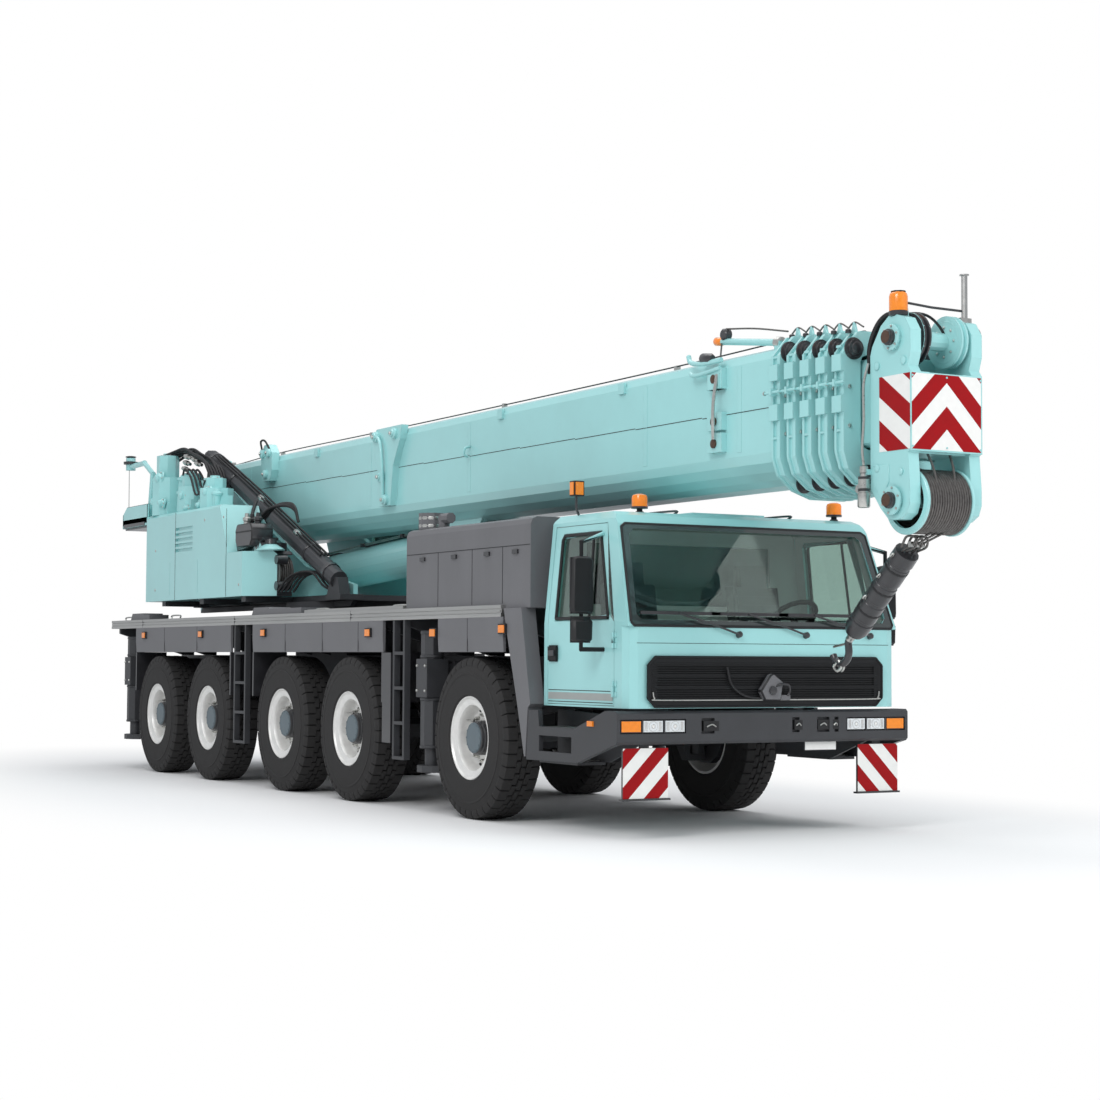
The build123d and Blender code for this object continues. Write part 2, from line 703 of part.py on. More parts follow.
def cab_body(inset):
    """The cab's solid form: upright below the belt, leaning in above it, its roof edges eased."""
    side = side_prism(cab_outline(inset), -half_width, half_width)
    low = cab_half_width - inset
    high = roof_half_width - inset
    top = cab_roof_z - inset
    front = front_prism([(-low, cab_floor_z - 50), (low, cab_floor_z - 50), (low, cab_belt_z), (high, top - 60),
                         (high - 45, top), (45 - high, top), (-high, top - 60), (-low, cab_belt_z)],
                        cab_rear_x - 10, cab_front_x + 10)
    return side & front


def eased_cab():
    """The outer form with its front corners rounded."""
    body = cab_body(0)
    reach = cab_corner_radius
    wide = cab_half_width
    cut = plan_prism([(cab_front_x - reach, wide), (cab_front_x - reach * 0.29, wide - reach * 0.29),
                      (cab_front_x, wide - reach), (cab_front_x + 50, wide - reach),
                      (cab_front_x + 50, wide + 50), (cab_front_x - reach, wide + 50)],
                     cab_floor_z - 50, windshield_bottom_z)
    return body - both_sides(cut)


def door_zone(gap):
    """The space of one door, its front edge along the windshield pillar."""
    lean = door_swing_gap if gap else 0
    outline = [(door_rear_x + gap + 3, door_bottom_z + gap), (door_front_x - gap, door_bottom_z + gap),
               (door_front_x - gap, cab_belt_z), (door_front_top_x - gap, door_top_z - gap),
               (door_rear_x + gap + 3 + lean, door_top_z - gap), (door_rear_x + gap + 3, cab_belt_z)]
    floor_edge = cab_half_width - cab_wall - (0 if gap else door_gap)
    floor = box(door_rear_x - 50, door_front_x + 50, 0, floor_edge, 0, cab_floor_z + cab_wall + door_gap)
    return side_prism(outline, roof_half_width - 150, half_width) - floor


def door_window(inset):
    """The side window's outline, moved inwards by an inset."""
    return [(door_rear_x + 110 + inset, cab_belt_z + 15 + inset), (door_front_x - 80 - inset, cab_belt_z + 15 + inset),
            (door_front_x - 85 - inset, cab_belt_z + 60), (door_front_top_x - 75 - inset, door_top_z - 60 - inset),
            (door_rear_x + 140 + inset, door_top_z - 60 - inset), (door_rear_x + 110 + inset, door_top_z - 100)]


def windshield_outline(inset):
    """Front view of the windshield opening, moved inwards by an inset."""
    low = windshield_bottom_z + 44 + inset
    high = windshield_top_z - 30 - inset
    wide_low = cab_half_width - 90 - inset
    wide_high = roof_half_width - 80 - inset
    half = [(wide_low - 40, low), (wide_low, low + 40), (wide_high, high - 40), (wide_high - 40, high)]
    return half + [(-y, z) for y, z in reversed(half)]


def rear_window(inset):
    return [(-900 + inset, 1800 + inset), (900 - inset, 1800 + inset), (900 - inset, 2300 - inset),
            (-900 + inset, 2300 - inset)]


def cab_shell():
    """Cab walls and roof with the door openings and windows cut, and the black grille panel."""
    skin = eased_cab() - cab_body(cab_wall)
    for side in ("left", "right"):
        skin -= to_side(door_zone(0), side)
    skin -= front_prism(windshield_outline(0), windshield_top_x - 150, cab_front_x + 100)
    skin -= front_prism(rear_window(0), cab_rear_x - 10, cab_rear_x + cab_wall + 10)
    for z in door_hinge_z:
        for low, high in ((z - 60, z - 20), (z + 20, z + 60)):
            lug = box(door_front_x + 2, door_front_x + 40, cab_half_width - 5, cab_half_width + 6, low, high)
            hinge_y = cab_half_width + door_hinge_offset
            barrel = bar((door_front_x, hinge_y, low), (door_front_x, hinge_y, high), door_hinge_radius)
            skin += both_sides(lug + barrel)
    wide = cab_half_width - 165
    low = cab_floor_z + 15
    high = low + 375
    grille = front_prism([(60 - wide, low), (wide - 60, low), (wide, low + 60), (wide, high - 60),
                          (wide - 60, high), (60 - wide, high), (-wide, high - 60), (-wide, low + 60)],
                         cab_front_x - 5, cab_front_x + 25)
    for index in range(3):
        z = low + 70 + index * 90
        grille -= box(cab_front_x + 10, cab_front_x + 30, 80 - wide, wide - 80, z, z + 60)
    hatch = box(cab_rear_x + 250, cab_rear_x + 750, -350, 350, cab_roof_z, cab_roof_z + 25)
    beacons = Part()
    for x, y in ((4450.0, -840.0), (4520.0, 1000.0)):
        beacons += bar((x, y, cab_roof_z), (x, y, cab_roof_z + 40), 22, 6)
        beacons += bar((x, y, cab_roof_z + 40), (x, y, cab_roof_z + 130), 55, 8)
    return skin + grille + hatch + beacons


def cab_glass():
    """Windshield and rear pane, each just inside its frame."""
    slope = (windshield_top_x - cab_front_x) / (windshield_top_z - windshield_bottom_z)
    low = windshield_bottom_z
    high = windshield_top_z
    top_x = cab_front_x + slope * (high - low)
    slab = side_prism([(cab_front_x - 22, low), (cab_front_x - 22 + glass_thickness, low),
                       (top_x - 22 + glass_thickness, high), (top_x - 22, high)], -half_width, half_width)
    pane = slab & front_prism(windshield_outline(running_gap), windshield_top_x - 150, cab_front_x + 100)
    rear = front_prism(rear_window(running_gap), cab_rear_x + 15, cab_rear_x + 15 + glass_thickness)
    return [pane, rear]


def mirror_pair():
    """Tall mirror case with a smaller wide-angle one below, on bent arms from the door."""
    y = cab_half_width + 190
    x = door_front_x - 205
    case = plan_prism([(x, y - 85), (x + 35, y - 95), (x + 60, y - 40), (x + 60, y + 40), (x + 35, y + 95),
                       (x, y + 85)], 1700, 2130)
    small = plan_prism([(x, y - 80), (x + 50, y - 70), (x + 65, y), (x + 50, y + 70), (x, y + 80)], 1480, 1680)
    arm_x = x + 30
    upper = bent_bar([(door_front_top_x - 60, roof_half_width + 2, 2330), (arm_x, y, 2250), (arm_x, y, 2120)], 15, 6)
    lower = bent_bar([(arm_x, y, 1485), (arm_x, y, 1430), (arm_x + 20, cab_half_width, 1430)], 15, 6)
    post = bar((arm_x, y, 1660), (arm_x, y, 1720), 15, 6)
    return case + small + upper + lower + post


def cab_door(side):
    """Door skin with its window cut, handle, hinge knuckles and mirrors."""
    skin = (eased_cab() - cab_body(cab_wall)) & door_zone(door_gap)
    skin -= side_prism(door_window(0), roof_half_width - 250, half_width + 200)
    for z in door_hinge_z:
        skin += box(door_front_x - 45, door_front_x - 2, cab_half_width - 5, cab_half_width + 6, z - 19, z + 19)
        skin += upright(door_front_x, cab_half_width + door_hinge_offset, door_hinge_radius,
                        z - 20 + running_gap, z + 20 - running_gap)
    handle = box(door_rear_x + 45, door_rear_x + 165, cab_half_width - 5, cab_half_width + 14, 1335, 1465)
    lean = (cab_half_width - roof_half_width) / (cab_roof_z - 60 - cab_belt_z)
    low_y = cab_half_width - 20
    high_y = low_y - lean * (door_top_z - cab_belt_z)
    slab = front_prism([(low_y - glass_thickness, cab_belt_z), (low_y, cab_belt_z), (high_y, door_top_z),
                        (high_y - glass_thickness, door_top_z)], door_rear_x, door_front_x)
    pane = slab & side_prism(door_window(running_gap), 0, half_width)
    return [to_side(skin + handle + mirror_pair(), side), to_side(pane, side)]


def seat_pieces(y):
    """One seat: base, cushion, back and headrest, each set just off the next."""
    x = cab_rear_x
    floor_top = cab_floor_z + cab_wall + cab_floor_depth
    base = box(x + 300, x + 600, y - 180, y + 180, floor_top, 1330)
    cushion = side_prism([(x + 250, 1330 + seat_gap), (x + 650, 1330 + seat_gap), (x + 690, 1500), (x + 660, 1545),
                          (x + 250, 1500)], y - 240, y + 240)
    back = side_prism([(x + 200, 1500 + seat_gap), (x + 250, 1500 + seat_gap), (x + 330, 1508.8 + seat_gap),
                       (x + 250, 1960), (x + 130, 1960)], y - 225, y + 225)
    rest = side_prism([(x + 130, 1960 + seat_gap), (x + 235, 1960 + seat_gap), (x + 215, 2140), (x + 130, 2140)],
                      y - 130, y + 130)
    return [base, cushion, back, rest]


def cab_interior():
    """Floor, dashboard, two seats and the steering wheel on its column."""
    room = cab_half_width - cab_wall - 45
    floor_top = cab_floor_z + cab_wall + cab_floor_depth
    dash_front = cab_front_x - 65
    floor = box(cab_rear_x + 60, dash_front, -room, room, cab_floor_z + cab_wall, floor_top - seat_gap)
    dash = side_prism([(dash_front, floor_top), (dash_front, 1540), (dash_front - 110, 1590), (dash_front - 280, 1600),
                       (dash_front - 360, 1500), (dash_front - 340, 1300), (dash_front - 220, floor_top)],
                      -room + 30, room - 30)
    seat_y = room / 2 + 20
    foot = (dash_front - 300, seat_y, 1520)
    head = (dash_front - 440, seat_y, 1700)
    span = (Vector(*head) - Vector(*foot)).normalized() * 14
    low = tuple(Vector(*head) - span)
    high = tuple(Vector(*head) + span)
    ring = bar(low, high, 215, 16) - bar(tuple(Vector(*low) - span), tuple(Vector(*high) + span), 185, 16)
    spoke = Plane(origin=head, x_dir=(0, 1, 0), z_dir=span).location * Box(380, 28, 28)
    return [floor, dash + bar(foot, head, 28) + ring + spoke] + seat_pieces(-seat_y) + seat_pieces(seat_y)


# ================================================================ superstructure
def turntable_frame():
    """Slewing ring, floor, side plates with the boom's bearings, outriggers and the thick side strut."""
    ring = upright(slew_x, 0, slew_ring_radius - 20, slew_joint_z, upper_floor_z - upper_floor_thickness)
    low = upper_floor_z - upper_floor_thickness
    floor = box(-6100, -1700, -700, 700, low, upper_floor_z)
    outline = [(-6200, low - 60), (-1700, low - 60), (-1620, low), (-1620, 2120), (-2900, 2350), (-4700, 3120),
               (-5300, 3420), (-5700, 3520), (-6080, 3470), (-6250, 3260), (-6250, 2300)]
    plate = side_prism(outline, side_plate_y, side_plate_y + side_plate_thickness)
    plate -= side_prism([(-5600, 2250), (-4900, 2250), (-4700, 2450), (-4900, 2800), (-5500, 2800)], 0, half_width)
    frame = ring + floor + both_sides(plate)
    frame += across(boom_pivot_x, boom_pivot_z, pivot_radius - running_gap, -side_plate_y, side_plate_y)
    frame += across(lift_foot_x, lift_foot_z, lift_pin_radius - running_gap, -side_plate_y, side_plate_y)
    strut = bar((-5450, -strut_y, 3740), (-1650, -strut_y, 2160), strut_radius, 12)
    cap = bar((-5560, -strut_y, 3786), (-5440, -strut_y, 3736), strut_radius * 0.6, 8)
    post = side_prism([(-1860, low), (-1480, low), (-1560, 2190), (-1740, 2190)], -strut_y - 60, -strut_y + 60)
    stay = side_prism([(-5600, 3350), (-5250, 3350), (-5330, 3700), (-5500, 3740)], -strut_y - 30,
                      -side_plate_y)
    apron = box(-1860, -1480, -strut_y - 60, -side_plate_y, low, upper_floor_z)
    frame += strut + cap + post + stay + apron
    for x in (-5600, -4300, -3000):
        frame += box(x - 60, x + 60, -pump_house_outer_y + 50, crane_cab_outer_y - 80 if x > -4400 else 700, low,
                     upper_floor_z)
    return frame


def upper_housing():
    """Power pack housing on the right side with its pumps, gooseneck pipe and rear tray."""
    low = upper_floor_z
    outer = pump_house_outer_y
    ease = 35.0
    outline = [(pump_house_rear_x, low), (pump_house_front_x, low), (pump_house_front_x, pump_house_low_z - ease),
               (pump_house_front_x - ease, pump_house_low_z), (pump_house_step_x, pump_house_low_z),
               (pump_house_step_x - 265, pump_house_high_z), (pump_house_rear_x, pump_house_high_z)]
    body = side_prism(outline, -outer, -pump_house_inner_y)
    corner = plan_prism([(pump_house_front_x + 10, -outer - 10), (pump_house_front_x - 300, -outer - 10),
                         (pump_house_front_x + 10, -outer + 300)], low - 10, pump_house_low_z + 10)
    top_edge = front_prism([(-outer - 1, pump_house_high_z - ease), (-outer + ease, pump_house_high_z + 1),
                            (-outer - 1, pump_house_high_z + 1)], pump_house_rear_x - 10, pump_house_step_x)
    seams = Part()
    for x in (-5260, -4320, -3430):
        seams += box(x - 4, x + 4, -outer - 1, -outer + 12, low + 60, pump_house_low_z - 40)
    for row in range(5):
        z = low + 560 + row * 62
        seams += box(-5080, -4500, -outer - 1, -outer + 22, z, z + 34)
    bay = box(winch_x - 220, winch_x + 260, -outer + 300 - running_gap, 0, winch_z - 200, winch_z + 200)
    body = body - corner - top_edge - seams - bay
    castings = ((-5895, -1100, 200, 3508, 125, 3782), (-5230, -1030, 180, 3360, 110, 3520),
                (-4460, -1030, 190, 3290, 120, 3413))
    for x, y, shoulder_r, shoulder_z, top_r, top_z in castings:
        body += bar((x, y, pump_house_high_z), (x, y, shoulder_z), shoulder_r, 10)
        body += bar((x - 60, y, shoulder_z), (x - 60, y, top_z), top_r, 8)
        body += box(x - shoulder_r - 60, x + shoulder_r + 40, y - 110, y + 110, pump_house_high_z,
                    pump_house_high_z + 150)
    body += bar((-2834, -1010, pump_house_low_z), (-2834, -1010, 2590), 170, 12)
    body += side_prism([(-3683, 2580), (-3610, 2510), (-2880, 2560), (-2640, 2620), (-2640, 2640), (-3400, 2640),
                        (-3620, 2640)], -1180, -1000)
    body += bent_bar([(-6287, -1200, 2995), (-6287, -1200, 3200), (-6219, -1200, 3585),
                      (-6544, -1200, 3741), (-7080, -1200, 3735)], 30, 8)
    body += bar((-7080, -1200, 3690), (-7080, -1200, 3844), 55, 8)
    tray = box(-7049, pump_house_rear_x + 5, -outer, -outer + 280, 2980, pump_house_high_z)
    tray -= box(-7020, pump_house_rear_x - 30, -outer + 29, -outer + 251, 3000, pump_house_high_z + 1)
    return body + tray


def winch_drum():
    """Rope drum between two flanges."""
    y = pump_house_outer_y - 300
    centre = across(winch_x, winch_z, kingpin_bore_radius, -y - 1, -y + 40)
    return faceted(winch_x, winch_z, 20, ((-y, 185), (-y + 16, 185), (-y + 18, winch_radius),
                                          (-y + 139, winch_radius), (-y + 141, 185), (-y + 155, 185))) - centre


def crane_cab_body(inset):
    """The crane driver's cab, with its sloping front, moved inwards by an inset."""
    front = crane_cab_front_x
    top = crane_cab_top_z
    points = [(crane_cab_rear_x + inset, upper_floor_z + inset), (front - 200 - inset, upper_floor_z + inset),
              (front - inset, 2480), (front - 190 - inset, top - 60), (front - 270 - inset, top - inset),
              (crane_cab_rear_x + 60 + inset, top - inset), (crane_cab_rear_x + inset, top - 60 - inset)]
    return side_prism(points, crane_cab_inner_y + inset, crane_cab_outer_y - inset)


def crane_cab():
    """Cab walls with the door, front, rear and inner windows cut, the seat and the door's rails."""
    front = crane_cab_front_x
    inner = crane_cab_inner_y
    outer = crane_cab_outer_y
    skin = crane_cab_body(0) - crane_cab_body(crane_cab_wall)
    skin -= box(-3890, -2960, outer - 130, outer + 70, 2120, 3310)
    skin -= front_prism([(inner + 70, 2150), (outer - 70, 2150), (outer - 70, 3330), (inner + 70, 3330)],
                        front - 350, front + 50)
    skin -= box(crane_cab_rear_x - 100, crane_cab_rear_x + 100, inner + 120, outer - 120, 2500, 3200)
    skin -= box(-3800, -2760, inner - 50, inner + 60, 2600, 3250)
    rail_y = outer + sliding_door_gap + sliding_door_thickness + 4
    skin += box(crane_cab_rear_x - 560, -2920, outer, rail_y, 3350 + running_gap, 3385)
    skin += box(crane_cab_rear_x - 560, -2920, outer, rail_y, 2040, 2080 - running_gap)
    for z_low, z_high in ((3350 + running_gap, 3385), (2040, 2080 - running_gap)):
        skin += box(crane_cab_rear_x - 560, crane_cab_rear_x + 60, outer - 60, outer, z_low, z_high)
    seat = side_prism([(-3900, upper_floor_z + 20), (-3450, upper_floor_z + 20), (-3390, 2430), (-3450, 2490),
                       (-3830, 2470), (-3900, 3130), (-4010, 3130), (-3980, 2440)], inner + 130, outer - 150)
    console = box(-3420, -3300, inner + 130, inner + 330, upper_floor_z + 20, 2700)
    return skin + seat + console


def crane_cab_door():
    outer = crane_cab_outer_y + sliding_door_gap
    panel = box(-3930, -2920, outer, outer + sliding_door_thickness, 2080, 3350)
    window = side_prism([(-3840, 2620), (-3010, 2620), (-3010, 3240), (-3050, 3280), (-3840, 3280)],
                        outer - 10, outer + 60)
    return panel - window


# ================================================================ boom
def tube_profile(step, x):
    """The boom section's outline at x: flat top, upright sides and a round belly in flat facets."""
    half = base_half_width - step
    top = base_top_z - step
    depth = base_side_low_z - base_bottom_z - step
    corner = boom_corner - step * 0.25
    points = [(half - corner, top), (half - corner * 0.3, top - corner * 0.3), (half, top - corner),
              (half, base_side_low_z)]
    for angle in (18, 36, 54, 72):
        fall = depth * math.sin(math.radians(angle)) / math.sin(math.radians(72))
        points.append((half * math.cos(math.radians(angle)), base_side_low_z - fall))
    outline = points + [(-y, z) for y, z in reversed(points)]
    return polygon(*[(x, y, z) for y, z in outline])


def boom_tube(number, x_low, x_high):
    """A hollow section from the outside in: number 0 is the base."""
    step = number * section_step
    outer = extrude(tube_profile(step, x_low), x_high - x_low, dir=(1, 0, 0))
    inner = extrude(tube_profile(step + boom_wall, x_low - 10), x_high - x_low + 20, dir=(1, 0, 0))
    return outer - inner


def collar_outline(number, grow):
    """Front view of a collar: flat top, cut corners, straight cheeks and a belly like the section's."""
    step = number * section_step * 0.45
    half = base_half_width + collar_height - step + grow
    top = base_top_z + collar_height - step * 0.8 + grow
    belly = base_bottom_z - collar_drop + step * 0.2 - grow
    side_low = base_side_low_z - 60
    points = [(half - 130, top), (half, top - 150), (half, side_low)]
    for angle in (25, 50, 72):
        fall = (side_low - belly) * math.sin(math.radians(angle)) / math.sin(math.radians(72))
        points.append((half * math.cos(math.radians(angle)), side_low - fall))
    return points + [(-y, z) for y, z in reversed(points)]


def collar(number):
    """The stiff collar at a section's front end: two flanges on a waist, with pin ears on its cheeks."""
    x_high = base_front_x + number * collar_pitch
    x_low = x_high - 110
    waist = front_prism(collar_outline(number, -collar_step), x_low, x_high)
    front_flange = front_prism(collar_outline(number, 0), x_high - 38, x_high)
    rear_flange = front_prism(collar_outline(number, 0), x_low, x_low + 26)
    half = base_half_width + collar_height - number * section_step * 0.45
    ears = Part()
    for z in (3175, 3470):
        ears += box(x_low, x_high, half - 20, half + 24, z - 60, z + 60)
    top = base_top_z + collar_height - number * section_step * 0.36
    ears += box(x_low, x_high, half - 260, half - 160, top - 20, top + 8)
    hole = extrude(tube_profile(number * section_step + boom_wall, x_low - 10), 130, dir=(1, 0, 0))
    return waist + front_flange + rear_flange + both_sides(ears) - hole


def pin_boss():
    """Doublers round the boom's pivot, bored for the pin, and the bore through the tube."""
    reach = side_plate_y - 5
    boss = bar((boom_pivot_x, base_half_width - 30, boom_pivot_z), (boom_pivot_x, reach, boom_pivot_z),
               pivot_radius + 60, 16)
    return both_sides(boss)


def boom_base():
    """Base section with its collar, pivot bosses, lift cylinder lugs and the brackets on its right side."""
    tube = boom_tube(0, base_rear_x, base_front_x - 5) + collar(0) + pin_boss()
    tube -= across(boom_pivot_x, boom_pivot_z, pivot_radius, -side_plate_y, side_plate_y)
    lug_low = lift_eye_half_width + 10
    lug = side_prism([(lift_eye_x - 700, 2900), (lift_eye_x + 700, 2900), (lift_eye_x + 190, 2400),
                      (lift_eye_x + 90, 2340), (lift_eye_x - 90, 2340), (lift_eye_x - 190, 2400)],
                     lug_low, lug_low + 60)
    lug -= extrude(tube_profile(boom_wall, lift_eye_x - 900), 1800, dir=(1, 0, 0))
    stub = bar((lift_eye_x, lug_low - 5, lift_eye_z), (lift_eye_x, lug_low + 90, lift_eye_z), lift_pin_radius - 5, 12)
    tube += both_sides(lug + stub)
    side = -base_half_width
    tube += side_prism([(-1300, 3600), (-1200, 3700), (-600, 3700), (-640, 3560), (-800, 3300), (-860, 2900),
                        (-1120, 2900), (-1180, 3300)], side - 70, side + 5)
    tube += side_prism([(-4350, 3500), (-4290, 3380), (-4080, 3380), (-4020, 3500), (-4020, 3700), (-4120, 3800),
                        (-4250, 3800), (-4350, 3700)], side - 90, side + 5)
    tube += box(4900, 5060, side - 60, side + 5, 3440, 3560)
    for index in range(4):
        x = -2900 + index * 2150
        tube += box(x - 45, x + 45, side - 22, side + 5, 3560, 3650)
    tube += box(-5600, 5300, -60, 60, base_top_z, base_top_z + 14)
    tube += bent_bar([(5250, 200, base_top_z - 20), (5250, 200, 3800), (5700, 200, 3830)], 24, 6)
    return tube


def wear_pads(number, x_low):
    """Slide pads at a section's rear end, which run inside the section before it."""
    step = number * section_step
    reach = section_step - boom_wall - running_gap
    top = base_top_z - step
    half = base_half_width - step
    pads = Part()
    for y in (-half + 160, half - 160):
        pads += box(x_low, x_low + wear_pad_length, y - wear_pad_width / 2, y + wear_pad_width / 2, top - 6, top + reach)
    for sign in (-1, 1):
        inner = sign * (half - 6)
        outer = sign * (half + reach)
        pads += box(x_low, x_low + wear_pad_length, min(inner, outer), max(inner, outer),
                    base_side_low_z + 30, base_side_low_z + 30 + wear_pad_width)
    return pads


def boom_section(number):
    rear = base_rear_x + section_rear_inset + number * section_rear_pitch
    front = base_front_x + number * collar_pitch
    if number == section_count:
        return boom_tube(number, rear, head_rear_x + 20) + wear_pads(number, rear) + head()
    return boom_tube(number, rear, front - 5) + wear_pads(number, rear) + collar(number)


def head_cheek():
    """One side plate of the boom head: a round seat for each sheave pin and a deep cut between them."""
    rear = head_rear_x
    front = head_front_x
    points = [(rear, 2560), (rear + 110, 2420), (rear + 190, 2345), (rear + 250, head_bottom_z),
              (rear + 330, head_bottom_z), (rear + 400, 2370), (rear + 430, 2440), (rear + 430, 2560),
              (front - 30, head_plate_bottom_z), (front, head_plate_bottom_z + 20), (front, head_plate_top_z),
              (front - 30, head_plate_top_z + 40), (front, 3480), (front, 3640), (front - 60, 3730),
              (front - 150, head_top_z), (front - 230, head_top_z), (front - 320, 3700), (rear + 20, 3560),
              (rear, 3500)]
    return side_prism(points, head_half_width - cheek_thickness, head_half_width)


def head():
    """Boom head: cheeks, front band, bulkhead, sheave pins, pole and beacon."""
    cheeks = both_sides(head_cheek())
    band = box(head_front_x - 60, head_front_x, -head_half_width, head_half_width, head_plate_bottom_z + 10,
               head_plate_top_z)
    notch = front_prism([(-150, head_plate_top_z - 3), (-190, head_plate_top_z + 60), (190, head_plate_top_z + 60),
                         (150, head_plate_top_z - 3)], head_front_x - 70, head_front_x + 10)
    shelf = box(head_rear_x, head_front_x - 60, -head_half_width + 50, head_half_width - 50, 2790, 2830)
    bulkhead = box(head_rear_x, head_rear_x + 40, -head_half_width, head_half_width, 2780, 3500)
    frame = cheeks + band + bulkhead + shelf - notch
    reach = head_half_width + sheave_pin_proud
    for x, z in ((low_sheave_x, low_sheave_z), (top_sheave_x, top_sheave_z)):
        frame += both_sides(faceted(x, z, 12, ((head_half_width - 5, 85), (head_half_width + 18, 85))))
        frame += across(x, z, sheave_pin_radius - running_gap, -reach, reach)
    frame += bar((7000, 275, head_top_z - 40), (7000, 275, pole_top_z), 20, 6)
    frame += bar((6945, -272, head_top_z - 10), (6945, -272, 3930), 50, 8)
    return frame


def grooved_drum(x, z, y_low, y_high, root, flange, grooves):
    """Sheaves side by side on one hub: flanges with a rope groove between each two."""
    pitch = (y_high - y_low) / grooves
    stations = []
    for index in range(grooves):
        y = y_low + index * pitch
        stations += [(y, flange), (y + pitch * 0.16, flange), (y + pitch * 0.32, root), (y + pitch * 0.68, root),
                     (y + pitch * 0.84, flange)]
    stations.append((y_high, flange))
    return faceted(x, z, sheave_sides, stations)


def head_sheaves():
    """The lower sheaves, side by side on one pin."""
    reach = head_half_width - cheek_thickness - 10
    pack = grooved_drum(low_sheave_x, low_sheave_z, -reach, reach, low_sheave_radius - 26, low_sheave_radius,
                        rope_groove_count)
    return pack - across(low_sheave_x, low_sheave_z, sheave_pin_radius, -300, 300)


def top_sheaves():
    """Two rope guide sheaves and the sleeve between them."""
    shape = bar((top_sheave_x, -200, top_sheave_z), (top_sheave_x, 205, top_sheave_z), 62, 12)
    for y in (-165, 165):
        shape += faceted(top_sheave_x, top_sheave_z, 24, ((y - 32, top_sheave_radius), (y - 20, top_sheave_radius),
                                                         (y - 8, top_sheave_radius - 24), (y + 8, top_sheave_radius - 24),
                                                         (y + 20, top_sheave_radius), (y + 32, top_sheave_radius)))
    return shape - across(top_sheave_x, top_sheave_z, sheave_pin_radius, -300, 300)


def hook_block():
    """Ribbed hook weight, lashed up slanting under the boom, with its hook and the rope falls."""
    top = Vector(6700, 0, 2130)
    foot = Vector(6080, 0, 1560)
    unit = (foot - top).normalized()

    def along(distance):
        place = top + unit * distance
        return (place.X, place.Y, place.Z)

    length = (foot - top).length
    block = bar(along(0), along(length), 78, 12)
    for start, end, radius in ((0, 40, 88), (150, 175, 88), (300, 325, 88), (450, 475, 88), (length - 150, length, 92)):
        block += bar(along(start), along(end), radius, 12)
    block += bar(along(length - 10), along(length + 70), 34, 8)
    shank = along(length + 60)
    hook = side_prism([(shank[0] + 40, shank[2] + 30), (shank[0] - 20, shank[2] + 50), (shank[0] - 75, shank[2] + 10),
                       (shank[0] - 90, shank[2] - 60), (shank[0] - 40, shank[2] - 120), (shank[0] + 40, shank[2] - 120),
                       (shank[0] + 80, shank[2] - 70), (shank[0] + 50, shank[2] - 60), (shank[0] + 10, shank[2] - 85),
                       (shank[0] - 35, shank[2] - 70), (shank[0] - 50, shank[2] - 30), (shank[0] - 20, shank[2])],
                      -28, 28)
    block += hook
    for y in (-45, 0, 45):
        block += bar((6690, y, 2126.5), (7027, y, 2243.3), rope_radius, 6)
    return block


# ================================================================ lift cylinder
def lift_point(distance):
    """A point on the cylinder's axis, so far from its foot."""
    span = Vector(lift_eye_x - lift_foot_x, 0, lift_eye_z - lift_foot_z)
    unit = span.normalized()
    return (lift_foot_x + unit.X * distance, 0, lift_foot_z + unit.Z * distance)


def lift_cylinder():
    """Cylinder tube with its end rings and the eye at its foot."""
    barrel = bar(lift_point(150), lift_point(lift_tube_length), lift_tube_radius, 16)
    barrel += bar(lift_point(lift_tube_length - 120), lift_point(lift_tube_length), lift_tube_radius + 18, 16)
    barrel += bar(lift_point(480), lift_point(540), lift_tube_radius + 18, 16)
    barrel += faceted(lift_foot_x, lift_foot_z, 12, ((-lift_eye_half_width, lift_eye_radius + 10),
                                                     (lift_eye_half_width, lift_eye_radius + 10)))
    barrel -= round_bar(lift_point(500), lift_point(lift_tube_length + 10), lift_rod_radius + running_gap)
    return barrel - across(lift_foot_x, lift_foot_z, lift_pin_radius, -200, 200)


def lift_rod():
    length = math.hypot(lift_eye_x - lift_foot_x, lift_eye_z - lift_foot_z)
    rod = round_bar(lift_point(620), lift_point(length - 100), lift_rod_radius)
    eye = faceted(lift_eye_x, lift_eye_z, 12, ((-lift_eye_half_width, lift_eye_radius), (lift_eye_half_width, lift_eye_radius)))
    return rod + eye - across(lift_eye_x, lift_eye_z, lift_pin_radius, -200, 200)


# ================================================================ output
os.makedirs("parts", exist_ok=True)
left_tyre = tyre()
left_rim = rim()
left_knuckle = knuckle()
for number, x in axle_x.items():
    for side in ("right", "left"):
        save(f"tyre_{number}_{side}", Pos(x, 0, 0) * to_side(left_tyre, side))
        save(f"rim_{number}_{side}", Pos(x, 0, 0) * to_side(left_rim, side))
        if number in steered_axles:
            save(f"knuckle_{number}_{side}", Pos(x, 0, 0) * to_side(left_knuckle, side))
for end in outrigger_x:
    for side in ("right", "left"):
        save(f"outrigger_beam_{end}_{side}", outrigger_beam(end, side))
        save(f"outrigger_jack_{end}_{side}", outrigger_jack(end, side))
save("chassis_frame", *chassis_frame())
save("driveline", driveline())
save("deck", *deck())
save("body_panels", *body_panels())
save("bumper", bumper())
save("cab_shell", cab_shell())
save("cab_glass", *cab_glass())
save("cab_door_right", *cab_door("right"))
save("cab_door_left", *cab_door("left"))
save("cab_interior", *cab_interior())
save("turntable_frame", turntable_frame())
save("upper_housing", upper_housing())
save("winch_drum", winch_drum())
save("crane_cab", crane_cab())
save("crane_cab_door", crane_cab_door())
save("boom_base", boom_base())
for number in range(1, section_count + 1):
    save(f"boom_section_{number}", boom_section(number))
save("head_sheaves", head_sheaves())
save("top_sheaves", top_sheaves())
save("hook_block", hook_block())
